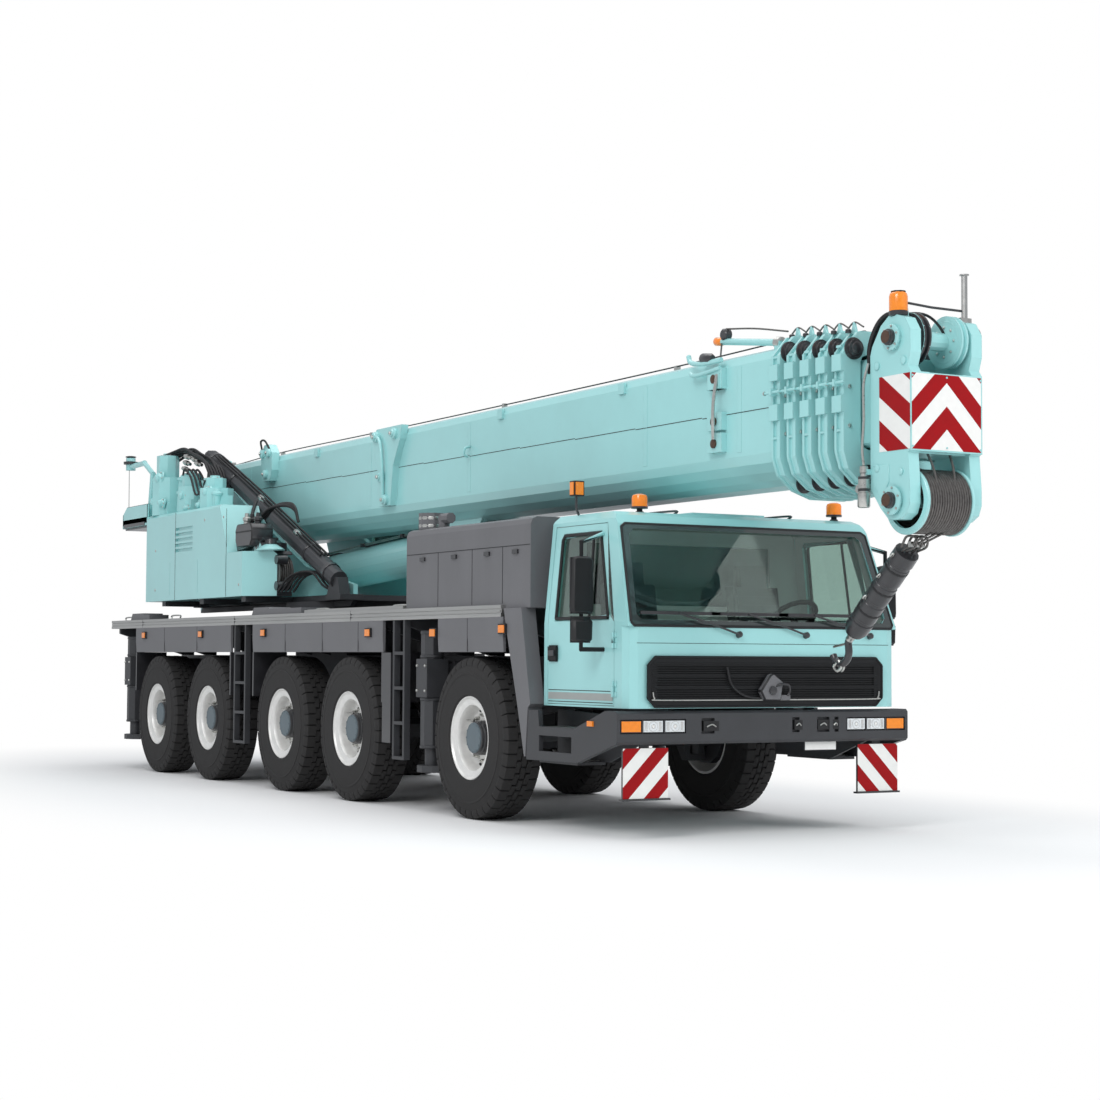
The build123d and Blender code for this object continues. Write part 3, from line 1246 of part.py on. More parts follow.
save("lift_cylinder", lift_cylinder())
save("lift_rod", lift_rod())
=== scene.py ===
"""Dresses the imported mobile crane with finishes, tyres, rims, trim, lamps, ropes and hoses.

Laid out as an add-on, and run as a script. Lengths are in metres in the crane's own frame: +X forward,
+Y to the vehicle's left, +Z up.
"""
import math

import bmesh
import bpy
from bpy.props import FloatProperty, FloatVectorProperty, IntProperty, PointerProperty
from mathutils import Matrix, Vector


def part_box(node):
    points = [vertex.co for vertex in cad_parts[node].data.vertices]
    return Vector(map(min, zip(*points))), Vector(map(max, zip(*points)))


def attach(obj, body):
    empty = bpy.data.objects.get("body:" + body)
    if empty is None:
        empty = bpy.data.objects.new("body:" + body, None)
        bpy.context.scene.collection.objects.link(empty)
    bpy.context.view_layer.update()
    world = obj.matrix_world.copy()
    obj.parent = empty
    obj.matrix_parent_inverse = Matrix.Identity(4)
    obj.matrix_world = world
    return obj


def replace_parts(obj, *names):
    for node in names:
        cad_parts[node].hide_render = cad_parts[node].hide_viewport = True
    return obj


bl_info = {
    "name": "Mobile crane dressing",
    "version": (1, 0, 0),
    "blender": (4, 5, 0),
    "location": "View3D > Sidebar > Crane",
    "description": "Finishes and fine pieces for a five-axle mobile crane",
    "category": "Add Mesh",
}

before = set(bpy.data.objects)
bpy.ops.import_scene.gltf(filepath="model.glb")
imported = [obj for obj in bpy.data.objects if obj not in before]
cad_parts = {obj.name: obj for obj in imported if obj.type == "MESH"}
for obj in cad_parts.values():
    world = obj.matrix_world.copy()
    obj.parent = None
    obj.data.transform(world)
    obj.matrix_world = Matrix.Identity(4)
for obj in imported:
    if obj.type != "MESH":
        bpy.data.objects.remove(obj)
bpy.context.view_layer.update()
AXLES = (1, 2, 3, 4, 5)
SIDES = ("right", "left")
DECK_HALF, DECK_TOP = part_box("deck")[1].yz
AHEAD, LEFT, UP = (1, 0, 0), (0, 1, 0), (0, 0, 1)
BACK, RIGHT = (-1, 0, 0), (0, -1, 0)
HUB = (0, 0, 0)  # a wheel is drawn about its own centre
HARD_EDGE = math.radians(30)
PANE_CORNERS = 14  # a loose pane in a door has no more corners than this
SLACK = 0.001

# Places that several pieces share, in metres.
CAB_SKIN = 1.27  # the cab's and doors' outer face from the middle
WAIST_Z = 1.64  # above it the cab's sides lean in
SIDE_LEAN = 0.1  # metres in for each metre up
GRILLE_X = 5.018  # the wire along the grille's foot
ROOF_Z = 2.50
SEAT_Y = 0.61  # each seat from the middle
LAMP_Z = 0.852  # the middle of the bumper's lamps
HOUSING_SIDE = -1.30  # the pump housing's outer wall
BOOM_SIDE = -0.445  # the boom's right side
BOOM_TOP = 3.690
COLLAR_FRONT, COLLAR_PITCH = 5.86, 0.17  # the first collar's front face, and the way to the next
TUBE_STEP = 0.036 * 0.45  # by this each section is narrower than the last, on each side
SEAM_Z = 3.325  # the long weld seam at the boom's rear end, and the collars' guide rods
STRIPE_FOOT = 2.812  # the lower edge of the head's warning stripes
HEAD_X, HIGH_AXLE_Z, LOW_AXLE_Z = 6.95, 3.60, 2.465  # the head's two sheave axles


# ---------------------------------------------------------------- colour and nodes
def linear(code):
    """An sRGB hex value as linear red, green, blue."""
    parts = [int(code[i:i + 2], 16) / 255 for i in (1, 3, 5)]
    return tuple(c / 12.92 if c <= 0.04045 else ((c + 0.055) / 1.055) ** 2.4 for c in parts)


def add_node(tree, kind, settings=None, inputs=None):
    """Adds one node, sets its attributes, and sets or links the inputs that are given."""
    node = tree.nodes.new(kind)
    for name, value in (settings or {}).items():
        setattr(node, name, value)
    for name, value in (inputs or {}).items():
        if isinstance(value, bpy.types.NodeSocket):
            tree.links.new(value, node.inputs[name])
        else:
            node.inputs[name].default_value = value
    return node


def shade(colour, factor):
    """The colour lighter or darker by a factor, as red, green, blue, alpha."""
    return tuple(min(1.0, c * factor) for c in colour) + (1.0,)


def finish(
        name, colour, roughness, shader=None, mottle_mm=500.0, mottle=0.08, grain_mm=6.0, grain_mm_high=0.0,
        streak=None, edge_mm=0.0):
    """One surface: colour and roughness that wander a little over mottle_mm, and a fine grain as bump.

    streak stretches the mottling along an axis, as run-off or brushing does. edge_mm rounds the edges to
    the eye.
    """
    material = bpy.data.materials.new(name)
    material.use_nodes = True
    tree = material.node_tree
    tree.nodes.clear()
    place = add_node(tree, "ShaderNodeTexCoord")
    stretched = add_node(
        tree, "ShaderNodeMapping", inputs={"Vector": place.outputs["Object"],
        "Scale": streak or (1.0, 1.0, 1.0)})
    cloud = add_node(
        tree, "ShaderNodeTexNoise", inputs={"Vector": stretched.outputs["Vector"],
        "Scale": 1000.0 / mottle_mm, "Detail": 5.0, "Roughness": 0.6})
    tone = add_node(tree, "ShaderNodeValToRGB", inputs={"Fac": cloud.outputs["Fac"]})
    tone.color_ramp.elements[0].position = 0.3
    tone.color_ramp.elements[1].position = 0.7
    tone.color_ramp.elements[0].color = shade(colour, 1.0 - mottle)
    tone.color_ramp.elements[1].color = shade(colour, 1.0 + mottle)
    rough = add_node(
        tree, "ShaderNodeMapRange", inputs={"Value": cloud.outputs["Fac"], "From Min": 0.3, "From Max": 0.7,
        "To Min": roughness * 0.88, "To Max": min(1.0, roughness * 1.12)})
    inputs = {"Base Color": tone.outputs["Color"], "Roughness": rough.outputs["Result"]}
    inputs.update(shader or {})
    surface = add_node(tree, "ShaderNodeBsdfPrincipled", inputs=inputs)
    normal = None
    if edge_mm:
        normal = add_node(tree, "ShaderNodeBevel", {"samples": 3},
            {"Radius": edge_mm / 1000.0}).outputs["Normal"]
    if grain_mm_high:
        fine = add_node(
            tree, "ShaderNodeTexNoise", inputs={"Vector": stretched.outputs["Vector"],
            "Scale": 1000.0 / grain_mm, "Detail": 2.0})
        inputs = {"Height": fine.outputs["Fac"], "Distance": grain_mm_high / 1000.0, "Strength": 0.6}
        if normal:
            inputs["Normal"] = normal
        normal = add_node(tree, "ShaderNodeBump", inputs=inputs).outputs["Normal"]
    if normal:
        tree.links.new(normal, surface.inputs["Normal"])
    output = add_node(tree, "ShaderNodeOutputMaterial")
    tree.links.new(surface.outputs["BSDF"], output.inputs["Surface"])
    return material


def let_light_in(material):
    """Lets lamps shine through a pane: shadow rays pass it with a slight tint and light what is behind."""
    tree = material.node_tree
    output = next(n for n in tree.nodes if n.type == "OUTPUT_MATERIAL")
    surface = next(n for n in tree.nodes if n.type == "BSDF_PRINCIPLED")
    path = add_node(tree, "ShaderNodeLightPath")
    tinted = add_node(tree, "ShaderNodeBsdfTransparent", inputs={"Color": linear("#C4D2CD") + (1.0,)})
    mix = add_node(
        tree, "ShaderNodeMixShader", inputs={0: path.outputs["Is Shadow Ray"], 1: surface.outputs["BSDF"],
        2: tinted.outputs["BSDF"]})
    tree.links.new(mix.outputs["Shader"], output.inputs["Surface"])


# ---------------------------------------------------------------- what a user would change
class CraneColours(bpy.types.PropertyGroup):
    """The colours of the enamels and of the warning stripes"""
    body: FloatVectorProperty(
        name="Body enamel", description="Turquoise of boom, cab and upper works", subtype="COLOR", size=3,
        min=0, max=1, default=linear("#9DD5D5"))
    carrier: FloatVectorProperty(
        name="Carrier enamel", description="Dark grey of the frame and bumper", subtype="COLOR", size=3,
        min=0, max=1, default=linear("#393A3D"))
    skirt: FloatVectorProperty(
        name="Skirt enamel", description="Warm grey of the side skirts and engine housing", subtype="COLOR",
        size=3, min=0, max=1, default=linear("#67676A"))
    rim: FloatVectorProperty(
        name="Rim enamel", description="Silver of the wheel rims", subtype="COLOR", size=3, min=0, max=1,
        default=linear("#E6E5E2"))
    warning: FloatVectorProperty(
        name="Warning red", description="Red of the warning stripes", subtype="COLOR", size=3, min=0, max=1,
        default=linear("#98070F"))


class CraneSizes(bpy.types.PropertyGroup):
    """Sizes of the fine pieces"""
    lug_count: IntProperty(name="Tread lugs", description="Lugs round one tyre", default=38, min=20, max=60)
    tread_depth: FloatProperty(
        name="Tread depth", description="Depth of the tread grooves", default=0.022, unit="LENGTH",
        min=0.005, max=0.04)
    stripe_pitch: FloatProperty(
        name="Warning stripe", description="Width of one warning stripe", default=0.1, unit="LENGTH",
        min=0.03, max=0.3)
    rope: FloatProperty(
        name="Hoist rope", description="Diameter of the hoist rope", default=0.021, unit="LENGTH", min=0.008,
        max=0.03)
    hose: FloatProperty(
        name="Hose", description="Diameter of the hydraulic hoses", default=0.034, unit="LENGTH", min=0.01,
        max=0.06)
    wiper_length: FloatProperty(
        name="Wiper", description="Length of a windshield wiper blade", default=0.72, unit="LENGTH", min=0.3,
        max=1.0)


def colours():
    return bpy.context.scene.crane_colours


def sizes():
    return bpy.context.scene.crane_sizes


# ---------------------------------------------------------------- finishes by what they are
FINISHES = {}


def make_finishes():
    """Fills FINISHES: every material by a short name."""
    tint = colours()
    coat = {"Coat Weight": 0.5, "Coat Roughness": 0.12, "IOR": 1.5}
    # Two-pack enamel sprayed on primed steel: wet gloss over a slight orange peel. It is finer in truth, and
    # is drawn at 12 mm so that it shows.
    FINISHES["body"] = finish(
        "two_pack_enamel_turquoise", tint.body, 0.34, coat, 900, 0.045, 12, 0.1, edge_mm=7)
    # The same enamel in satin grey on the welded frame: duller, with road film that clouds it.
    FINISHES["carrier"] = finish(
        "satin_enamel_dark_grey", tint.carrier, 0.5, {"IOR": 1.5}, 300, 0.12, 14, 0.15, edge_mm=6)
    # Satin enamel on pressed side panels: warmer grey, dust in faint vertical runs.
    FINISHES["skirt"] = finish(
        "satin_enamel_warm_grey", tint.skirt, 0.48, {"IOR": 1.5}, 350, 0.1, 14, 0.12, (1.0, 1.0, 0.35), 6)
    # Extruded aluminium, mill finished: bright, with drawing lines along its length.
    FINISHES["aluminium"] = finish(
        "extruded_aluminium_mill", linear("#BDBDBB"), 0.42, {"Metallic": 1.0}, 60, 0.08, 3, 0.1,
        (0.05, 1.0, 1.0), 3)
    # Chequer plate under enamel, walked on: dark, dusty and rough.
    FINISHES["deck"] = finish("chequer_plate_enamel_worn", linear("#3E3F42"), 0.7, None, 200, 0.2, 28, 1.2)
    # Vulcanised rubber: near black, matt, with pale road dust in clouds.
    FINISHES["tyre"] = finish(
        "vulcanised_rubber_dusty", linear("#2E2D2D"), 0.82, {"IOR": 1.5, "Specular IOR Level": 0.35}, 160,
        0.22, 5, 0.35)
    # Zinc-primed steel rims in silver enamel: pale, with a soft sheen.
    FINISHES["rim"] = finish(
        "silver_enamel_on_steel", tint.rim, 0.38, {"Metallic": 0.35, "IOR": 1.5}, 120, 0.07, 8, 0.08,
        edge_mm=3)
    # Cast iron hub caps under blue-grey enamel: flat and a little rough.
    FINISHES["hub"] = finish(
        "cast_iron_blue_grey_enamel", linear("#5E6B72"), 0.5, {"IOR": 1.5}, 60, 0.08, 9, 0.35, edge_mm=3)
    # Zinc-plated fasteners: small bright glints.
    FINISHES["zinc"] = finish(
        "zinc_plated_steel", linear("#C4C4C0"), 0.3, {"Metallic": 1.0}, 25, 0.12, 4, 0.05)
    # Ground and hard-chromed rod: a clean mirror along its length.
    FINISHES["chrome"] = finish("hard_chromed_rod", linear("#D6D6D4"), 0.12, {"Metallic": 1.0}, 300, 0.03)
    # Drawn steel wire rope in grease: dark grey with a dull shine.
    FINISHES["rope"] = finish(
        "greased_wire_rope", linear("#6B6866"), 0.45, {"Metallic": 0.7}, 30, 0.25, 5, 0.6)
    # Moulded EPDM rubber of seals and hoses: black, soft shine.
    FINISHES["rubber"] = finish(
        "moulded_epdm_rubber", linear("#1B1B1D"), 0.55, {"IOR": 1.5}, 120, 0.15, 5, 0.12)
    # Black ABS of grille, mirrors and dash: moulded with a fine grain.
    FINISHES["plastic"] = finish(
        "moulded_black_abs", linear("#17181A"), 0.45, {"Specular IOR Level": 0.3}, 150, 0.1, 4, 0.1,
        edge_mm=4)
    # Black enamel on forged and cast steel: glossy where it is rubbed.
    FINISHES["black"] = finish(
        "black_enamel_on_steel", linear("#2B2B2E"), 0.36, coat, 120, 0.15, 9, 0.2, edge_mm=4)
    # Woven polyester seat cloth: dark, quite matt, with a soft edge to the light.
    FINISHES["cloth"] = finish(
        "woven_polyester_cloth", linear("#3A3B40"), 0.9, {"Sheen Weight": 0.4}, 40, 0.1, 3, 0.4)
    # Foam-backed felt of the cab's roof and walls: pale grey and quite matt. A faint glow stands for daylight
    # that bounces round inside.
    FINISHES["lining"] = finish(
        "foam_backed_felt_lining", linear("#A6ABAA"), 0.92, {"Emission Color": linear("#A6ABAA") + (1.0,),
        "Emission Strength": 0.16})
    # Black enamel fired on the edge of the glass: dark grey-green with the pane's own gloss.
    FINISHES["ceramic"] = finish(
        "fired_enamel_on_glass", linear("#333A3A"), 0.06, {"Coat Weight": 1.0}, 300, 0.03)
    # Laminated float glass, green-grey body tint: clear with crisp reflections.
    FINISHES["glass"] = finish(
        "laminated_glass_green_grey", linear("#B7CCC5"), 0.02, {"Transmission Weight": 1.0, "IOR": 1.5}, 900,
        0.02)
    let_light_in(FINISHES["glass"])
    # Moulded acrylic lenses, dyed amber right through: saturated, with a painted glow (a faint emission) for
    # light scattered inside the unlit lens.
    FINISHES["amber"] = finish(
        "moulded_acrylic_amber_painted_glow", linear("#F08A1C"), 0.16, {"IOR": 1.49, "Transmission Weight": 0.15,
        "Coat Weight": 0.6, "Emission Color": linear("#F07A10") + (1.0,), "Emission Strength": 0.18}, 40,
        0.1)
    # Pressed lamp glass with prisms over a bright bowl: nearly white, a painted reflection of the bowl, with
    # hard small glints.
    FINISHES["lens"] = finish(
        "pressed_lamp_glass_painted_reflection", linear("#DDE1E3"), 0.12, {"Coat Weight": 1.0, "IOR": 1.5}, 30, 0.06, 12, 0.8)
    # Aluminium vapour on a moulded bowl or on glass: silver, with a clean reflection.
    FINISHES["mirror"] = finish(
        "vapour_coated_reflector", linear("#E8E8E6"), 0.14, {"Metallic": 1.0}, 20, 0.05)
    # Retroreflective sheet, red and white, with a sealed face: flat strong colour, slight gloss.
    FINISHES["red"] = finish(
        "retroreflective_sheet_red", tint.warning, 0.5, {"Specular IOR Level": 0.2}, 60, 0.06, 3, 0.03)
    FINISHES["white"] = finish(
        "retroreflective_sheet_white", linear("#E9E9E6"), 0.35, {"Coat Weight": 0.3}, 60, 0.03, 3, 0.03)
    # Moulded acrylic dyed red: deep and glossy.
    FINISHES["red_lens"] = finish(
        "moulded_acrylic_red", linear("#A81414"), 0.15, {"Coat Weight": 0.6}, 30, 0.1)
    # Ground steel pins, brass-coloured: painted brown with shade, with a dull shine.
    FINISHES["pin"] = finish("pin_steel_painted_shade", linear("#5C463A"), 0.4, {"Metallic": 0.5}, 30, 0.2)
    # Vinyl marking strip: pale grey with a soft even sheen.
    FINISHES["strip"] = finish("grey_marking_strip", linear("#9BA09E"), 0.45, {"IOR": 1.5}, 100, 0.05)


# ---------------------------------------------------------------- shapes
class Maker:
    """Gathers the facets of one piece, then makes it an object that rides on a body.

    Its first finish is also the one of the small faces where rounded edges meet.
    """

    def __init__(self, name, body, slot, first):
        self.name = name
        self.body = body
        self.slot = slot
        self.finishes = [first]
        self.mesh = bmesh.new()

    def index(self, key):
        """The place of a finish among the piece's own, added where it is new."""
        if key not in self.finishes:
            self.finishes.append(key)
        return self.finishes.index(key)

    def facets(self, points, rings, key):
        """Faces by lists of point numbers."""
        corners = [self.mesh.verts.new(p) for p in points]
        made = []
        for ring in rings:
            face = self.mesh.faces.new([corners[i] for i in ring])
            face.material_index = self.index(key)
            made.append(face)
        return corners, made

    def round_edges(self, faces, width):
        """Bevels the hard edges of these faces by a width, in the order in which the faces were made."""
        edges = dict.fromkeys(e for f in faces for e in f.edges)
        sharp = [e for e in edges if len(e.link_faces) == 2 and e.calc_face_angle(0) > HARD_EDGE]
        if sharp and width:
            bmesh.ops.bevel(
                self.mesh, geom=sharp, offset=width, segments=1, profile=0.6, affect="EDGES",
                clamp_overlap=True)

    def block(self, corner, far, key, edge=0.004):
        """A box between two opposite corners, in any order, with its edges eased."""
        low, high = zip(*(sorted(pair) for pair in zip(corner, far)))
        points = [(x, y, z) for z in (low[2], high[2]) for y in (low[1], high[1]) for x in (low[0], high[0])]
        rings = ((0, 2, 3, 1), (4, 5, 7, 6), (0, 1, 5, 4), (2, 6, 7, 3), (0, 4, 6, 2), (1, 3, 7, 5))
        faces = self.facets(points, rings, key)[1]
        self.round_edges(faces, edge)

    def prism(self, outline, axis, low, high, key, edge=0.003):
        """An outline drawn in the plane across an axis, between two places on that axis."""
        spots = {
            "x": lambda a, b, t: (t, a, b), "y": lambda a, b, t: (a, t, b), "z": lambda a, b, t: (a, b, t)}
        place = spots[axis]
        count = len(outline)
        points = [place(a, b, low) for a, b in outline] + [place(a, b, high) for a, b in outline]
        rings = [tuple(range(count)), tuple(reversed(range(count, 2 * count)))]
        for i in range(count):
            j = (i + 1) % count
            rings.append((j, i, count + i, count + j))
        faces = self.facets(points, rings, key)[1]
        bmesh.ops.recalc_face_normals(self.mesh, faces=faces)
        self.round_edges(faces, edge)

    def turned(self, centre, axis, profile, key, sides=32, caps=True):
        """A profile of (along, radius) turned about an axis through a centre."""
        centre = Vector(centre)
        along = Vector(axis).normalized()
        across = along.orthogonal().normalized()
        up = along.cross(across)
        points = []
        for reach, radius in profile:
            for i in range(sides):
                angle = 2 * math.pi * i / sides
                points.append(
                    centre + along * reach + (across * math.cos(angle) + up * math.sin(angle)) * radius)
        rings = []
        for step in range(len(profile) - 1):
            for i in range(sides):
                j = (i + 1) % sides
                a, b = step * sides, (step + 1) * sides
                rings.append((a + i, a + j, b + j, b + i))
        if caps:
            rings.append(tuple(reversed(range(sides))))
            last = (len(profile) - 1) * sides
            rings.append(tuple(range(last, last + sides)))
        self.facets(points, rings, key)

    def tube(self, points, radius, key, sides=10, smooth=True):
        """A tube through points: along a smooth curve, or straight from one to the next."""
        path = [Vector(p) for p in points]
        if smooth and len(path) > 2:
            path = curve_through(path)
        normal = (path[1] - path[0]).orthogonal().normalized()
        spots = []
        for i, spot in enumerate(path):
            before = (spot - path[i - 1]).normalized() if i else (path[1] - spot).normalized()
            after = (path[i + 1] - spot).normalized() if i + 1 < len(path) else before
            heading = (before + after).normalized()
            normal = (normal - heading * normal.dot(heading)).normalized()
            side = heading.cross(normal)
            for k in range(sides):
                angle = 2 * math.pi * k / sides
                spots.append(spot + (normal * math.cos(angle) + side * math.sin(angle)) * radius)
        rings = []
        for step in range(len(path) - 1):
            for k in range(sides):
                j = (k + 1) % sides
                rings.append(
                    (step * sides + k, step * sides + j, (step + 1) * sides + j, (step + 1) * sides + k))
        rings.append(tuple(reversed(range(sides))))
        rings.append(tuple(range((len(path) - 1) * sides, len(path) * sides)))
        self.facets(spots, rings, key)

    def nut(self, centre, axis, width, height, key):
        """A hexagon nut with its end turned down."""
        self.turned(centre, axis, ((0, width / 2), (height * 0.8, width / 2), (height, width * 0.4)), key, 6)

    def nuts_round(self, centre, axis, circle, count, width, height, key, start=0.0):
        """Nuts on a circle across an axis; they keep their places when the axis leans a little."""
        across, up = Vector(AHEAD), Vector(LEFT if abs(axis[2]) > abs(axis[1]) else UP)
        for i in range(count):
            angle = 2 * math.pi * i / count + start
            spot = Vector(centre) + (across * math.cos(angle) + up * math.sin(angle)) * circle
            self.nut(spot, axis, width, height, key)

    def closed_line(self, points, radius, key):
        """A closed ring of straight tubes from point to point."""
        for a, b in zip(points, points[1:] + points[:1]):
            self.tube([a, b], radius, key, 8, smooth=False)

    def done(self, smooth=40):
        """Makes the object: smooth over soft edges and sharp over hard ones."""
        bmesh.ops.recalc_face_normals(self.mesh, faces=self.mesh.faces[:])
        for edge in self.mesh.edges:
            edge.smooth = len(edge.link_faces) != 2 or edge.calc_face_angle(0) < math.radians(smooth)
        for face in self.mesh.faces:
            face.smooth = True
        data = bpy.data.meshes.new(self.name)
        self.mesh.to_mesh(data)
        self.mesh.free()
        for key in self.finishes:
            data.materials.append(FINISHES[key])
        piece = bpy.data.objects.new(self.name, data)
        bpy.context.scene.collection.objects.link(piece)
        if self.body:
            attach(piece, self.body)
        return piece


def curve_through(points, steps=6):
    """A smooth curve through the given points, in steps from each to the next."""
    ends = [points[0] * 2 - points[1]] + points + [points[-1] * 2 - points[-2]]
    path = []
    for i in range(1, len(ends) - 2):
        a, b, c, d = ends[i - 1:i + 3]
        for step in range(steps):
            t = step / steps
            path.append(
                0.5 * (2 * b + (c - a) * t + (2 * a - 5 * b + 4 * c - d) * t * t + (3 * b - a - 3 * c + d)
                * t ** 3))
    path.append(points[-1])
    return path


def middle(node):
    """The middle of a node's box."""
    low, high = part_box(node)
    return (low + high) / 2


# ---------------------------------------------------------------- carried-over parts
def dress(node, key, choose=None, others=()):
    """Gives a carried-over part its finish; choose picks another one of others for a face by its middle."""
    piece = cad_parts[node]
    data = piece.data
    data.materials.clear()
    keys = [key] + list(others)
    for each in keys:
        data.materials.append(FINISHES[each])
    for face in data.polygons:
        pick = choose(face.center, face.normal) if choose else None
        face.material_index = keys.index(pick) if pick in keys else 0


def side_lean(z):
    """How far the cab's sides lean in at a height."""
    return max(0.0, z - WAIST_Z) * SIDE_LEAN


def deck_part(at, normal):
    """The deck's edges and rear strip are aluminium, and what hangs under it is frame grey."""
    if at.z < DECK_TOP - 0.102:
        return "carrier"
    return "aluminium" if abs(at.y) > DECK_HALF - 0.045 or at.x < -7.15 else None


def bumper_part(at, normal):
    """The lower corners of the bumper are black."""
    if at.z < 0.695 and at.x > 4.9 and abs(at.y) > 0.8:
        return "black"
    return None


def cab_part(at, normal):
    """Grille pocket, bases and lenses of the roof lamps, and the lined inner faces of the cab."""
    if at.x > 4.987 and at.z < 1.45 and abs(at.y) < 1.12:
        return "plastic"
    if at.z > 2.505 and abs(at.y) > 0.7:
        return "amber" if at.z > 2.536 else "plastic"
    if normal.x > 0.3 and normal.z > 0.1:
        return None
    inside = abs(at.y) < CAB_SKIN - 0.03 - side_lean(at.z) and 1.0 < at.z < 2.45
    if inside and 3.72 < at.x < min(4.94, on_windshield(at.z, -0.02)):
        return "lining"
    return None


def door_part(at, normal):
    """Mirror arms and handles are plastic, and the inner faces of a door are lined."""
    out = abs(at.y) - CAB_SKIN
    mirror_arm = out > 0.06 or (out > 0.015 and 1.38 < at.z < 1.5 and at.x > 4.3)
    handle = 1.33 < at.z < 1.47 and at.x < 3.95 and out > 0.002
    if mirror_arm or handle:
        return "plastic"
    if out < -0.035 - side_lean(at.z):
        return "lining"
    return None


def upper_part(at, normal):
    """The valve box's bracket is frame grey and the castings at the front are black."""
    if at.z < 2.55 and at.y > -1.02 and at.x > -3.0:
        return "carrier"
    if at.z > 2.53 and at.x > -3.36:
        return "black"
    return None


def turntable_part(at, normal):
    """The slewing ring and the strut beside the boom are frame grey."""
    if at.z < 2.0:
        return "carrier"
    return "carrier" if at.y < -0.6 else None


def head_part(at, normal):
    """The lamp pole is aluminium, the beacon's foot plastic, and the pins' ends steel in the pin finish,
    painted brown with shade.
    """
    if at.z > 3.77:
        return "aluminium" if at.y > 0 else "plastic"
    if abs(at.y) > 0.345:
        return "pin"
    return None


class CRANE_OT_finishes(bpy.types.Operator):
    """Makes the finishes and gives them to the carried-over parts"""
    bl_idname = "crane.finishes"
    bl_label = "Finishes"

    def execute(self, context):
        make_finishes()
        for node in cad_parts:
            if node.startswith("tyre"):
                dress(node, "tyre")
            elif node.startswith("rim"):
                dress(node, "rim")
            elif node.startswith(("knuckle", "driveline", "chassis", "outrigger_beam", "outrigger_jack")):
                dress(node, "carrier")
            elif node.startswith("boom_section") and not node.endswith("5"):
                dress(node, "body")
        dress("boom_section_5", "body", head_part, ("aluminium", "plastic", "pin"))
        dress("deck", "deck", deck_part, ("aluminium", "carrier"))
        dress("body_panels", "skirt")
        dress("bumper", "carrier", bumper_part, ("black",))
        dress("cab_shell", "body", cab_part, ("plastic", "amber", "lining"))
        dress("cab_glass", "glass")
        for side in SIDES:
            dress(f"cab_door_{side}", "body", door_part, ("plastic", "glass", "lining"))
        dress("cab_interior", "cloth", lambda at, normal: "plastic" if at.x > 4.42 else None, ("plastic",))
        dress("turntable_frame", "body", turntable_part, ("carrier",))
        dress("upper_housing", "body", upper_part, ("carrier", "black"))
        dress("winch_drum", "rope")
        dress(
            "crane_cab", "body", lambda at, normal: "cloth" if -4.02 < at.x < -3.29 and 0.72 < at.y < 1.24
            and 2.03 < at.z < 3.2 else None, ("cloth",))
        dress("crane_cab_door", "body")
        dress("boom_base", "body")
        dress("head_sheaves", "carrier")
        dress("top_sheaves", "body")
        dress("hook_block", "black", lambda at, normal: "rope" if at.x > 6.71 else None, ("rope",))
        dress("lift_cylinder", "body")
        dress("lift_rod", "chrome")
        glaze_doors()
        return {"FINISHED"}


def glaze_doors():
    """The loose panes in the door nodes are glass: they are the islands with few corners."""
    for side in SIDES:
        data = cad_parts[f"cab_door_{side}"].data
        net = bmesh.new()
        net.from_mesh(data)
        bmesh.ops.remove_doubles(net, verts=net.verts[:], dist=0.00001)
        panes = []
        seen = set()
        for start in net.verts:
            if start in seen:
                continue
            island, heap = set(), [start]
            while heap:
                vert = heap.pop()
                if vert in island:
                    continue
                island.add(vert)
                heap += [e.other_vert(vert) for e in vert.link_edges]
            seen |= island
            if len(island) <= PANE_CORNERS:
                xs = [v.co.x for v in island]
                zs = [v.co.z for v in island]
                panes.append(
                    (min(xs), max(xs), min(zs), max(zs), min(abs(v.co.y) for v in island),
                    max(abs(v.co.y) for v in island)))
        net.free()
        glass = data.materials.find(FINISHES["glass"].name)
        for face in data.polygons:
            at = face.center
            for x0, x1, z0, z1, y0, y1 in panes:
                inside = x0 - SLACK <= at.x <= x1 + SLACK and z0 <= at.z <= z1
                inside = inside and y0 - SLACK <= abs(at.y) <= y1 + SLACK
                if inside and abs(face.normal.y) > 0.9 and face.area > 0.02:
                    face.material_index = glass


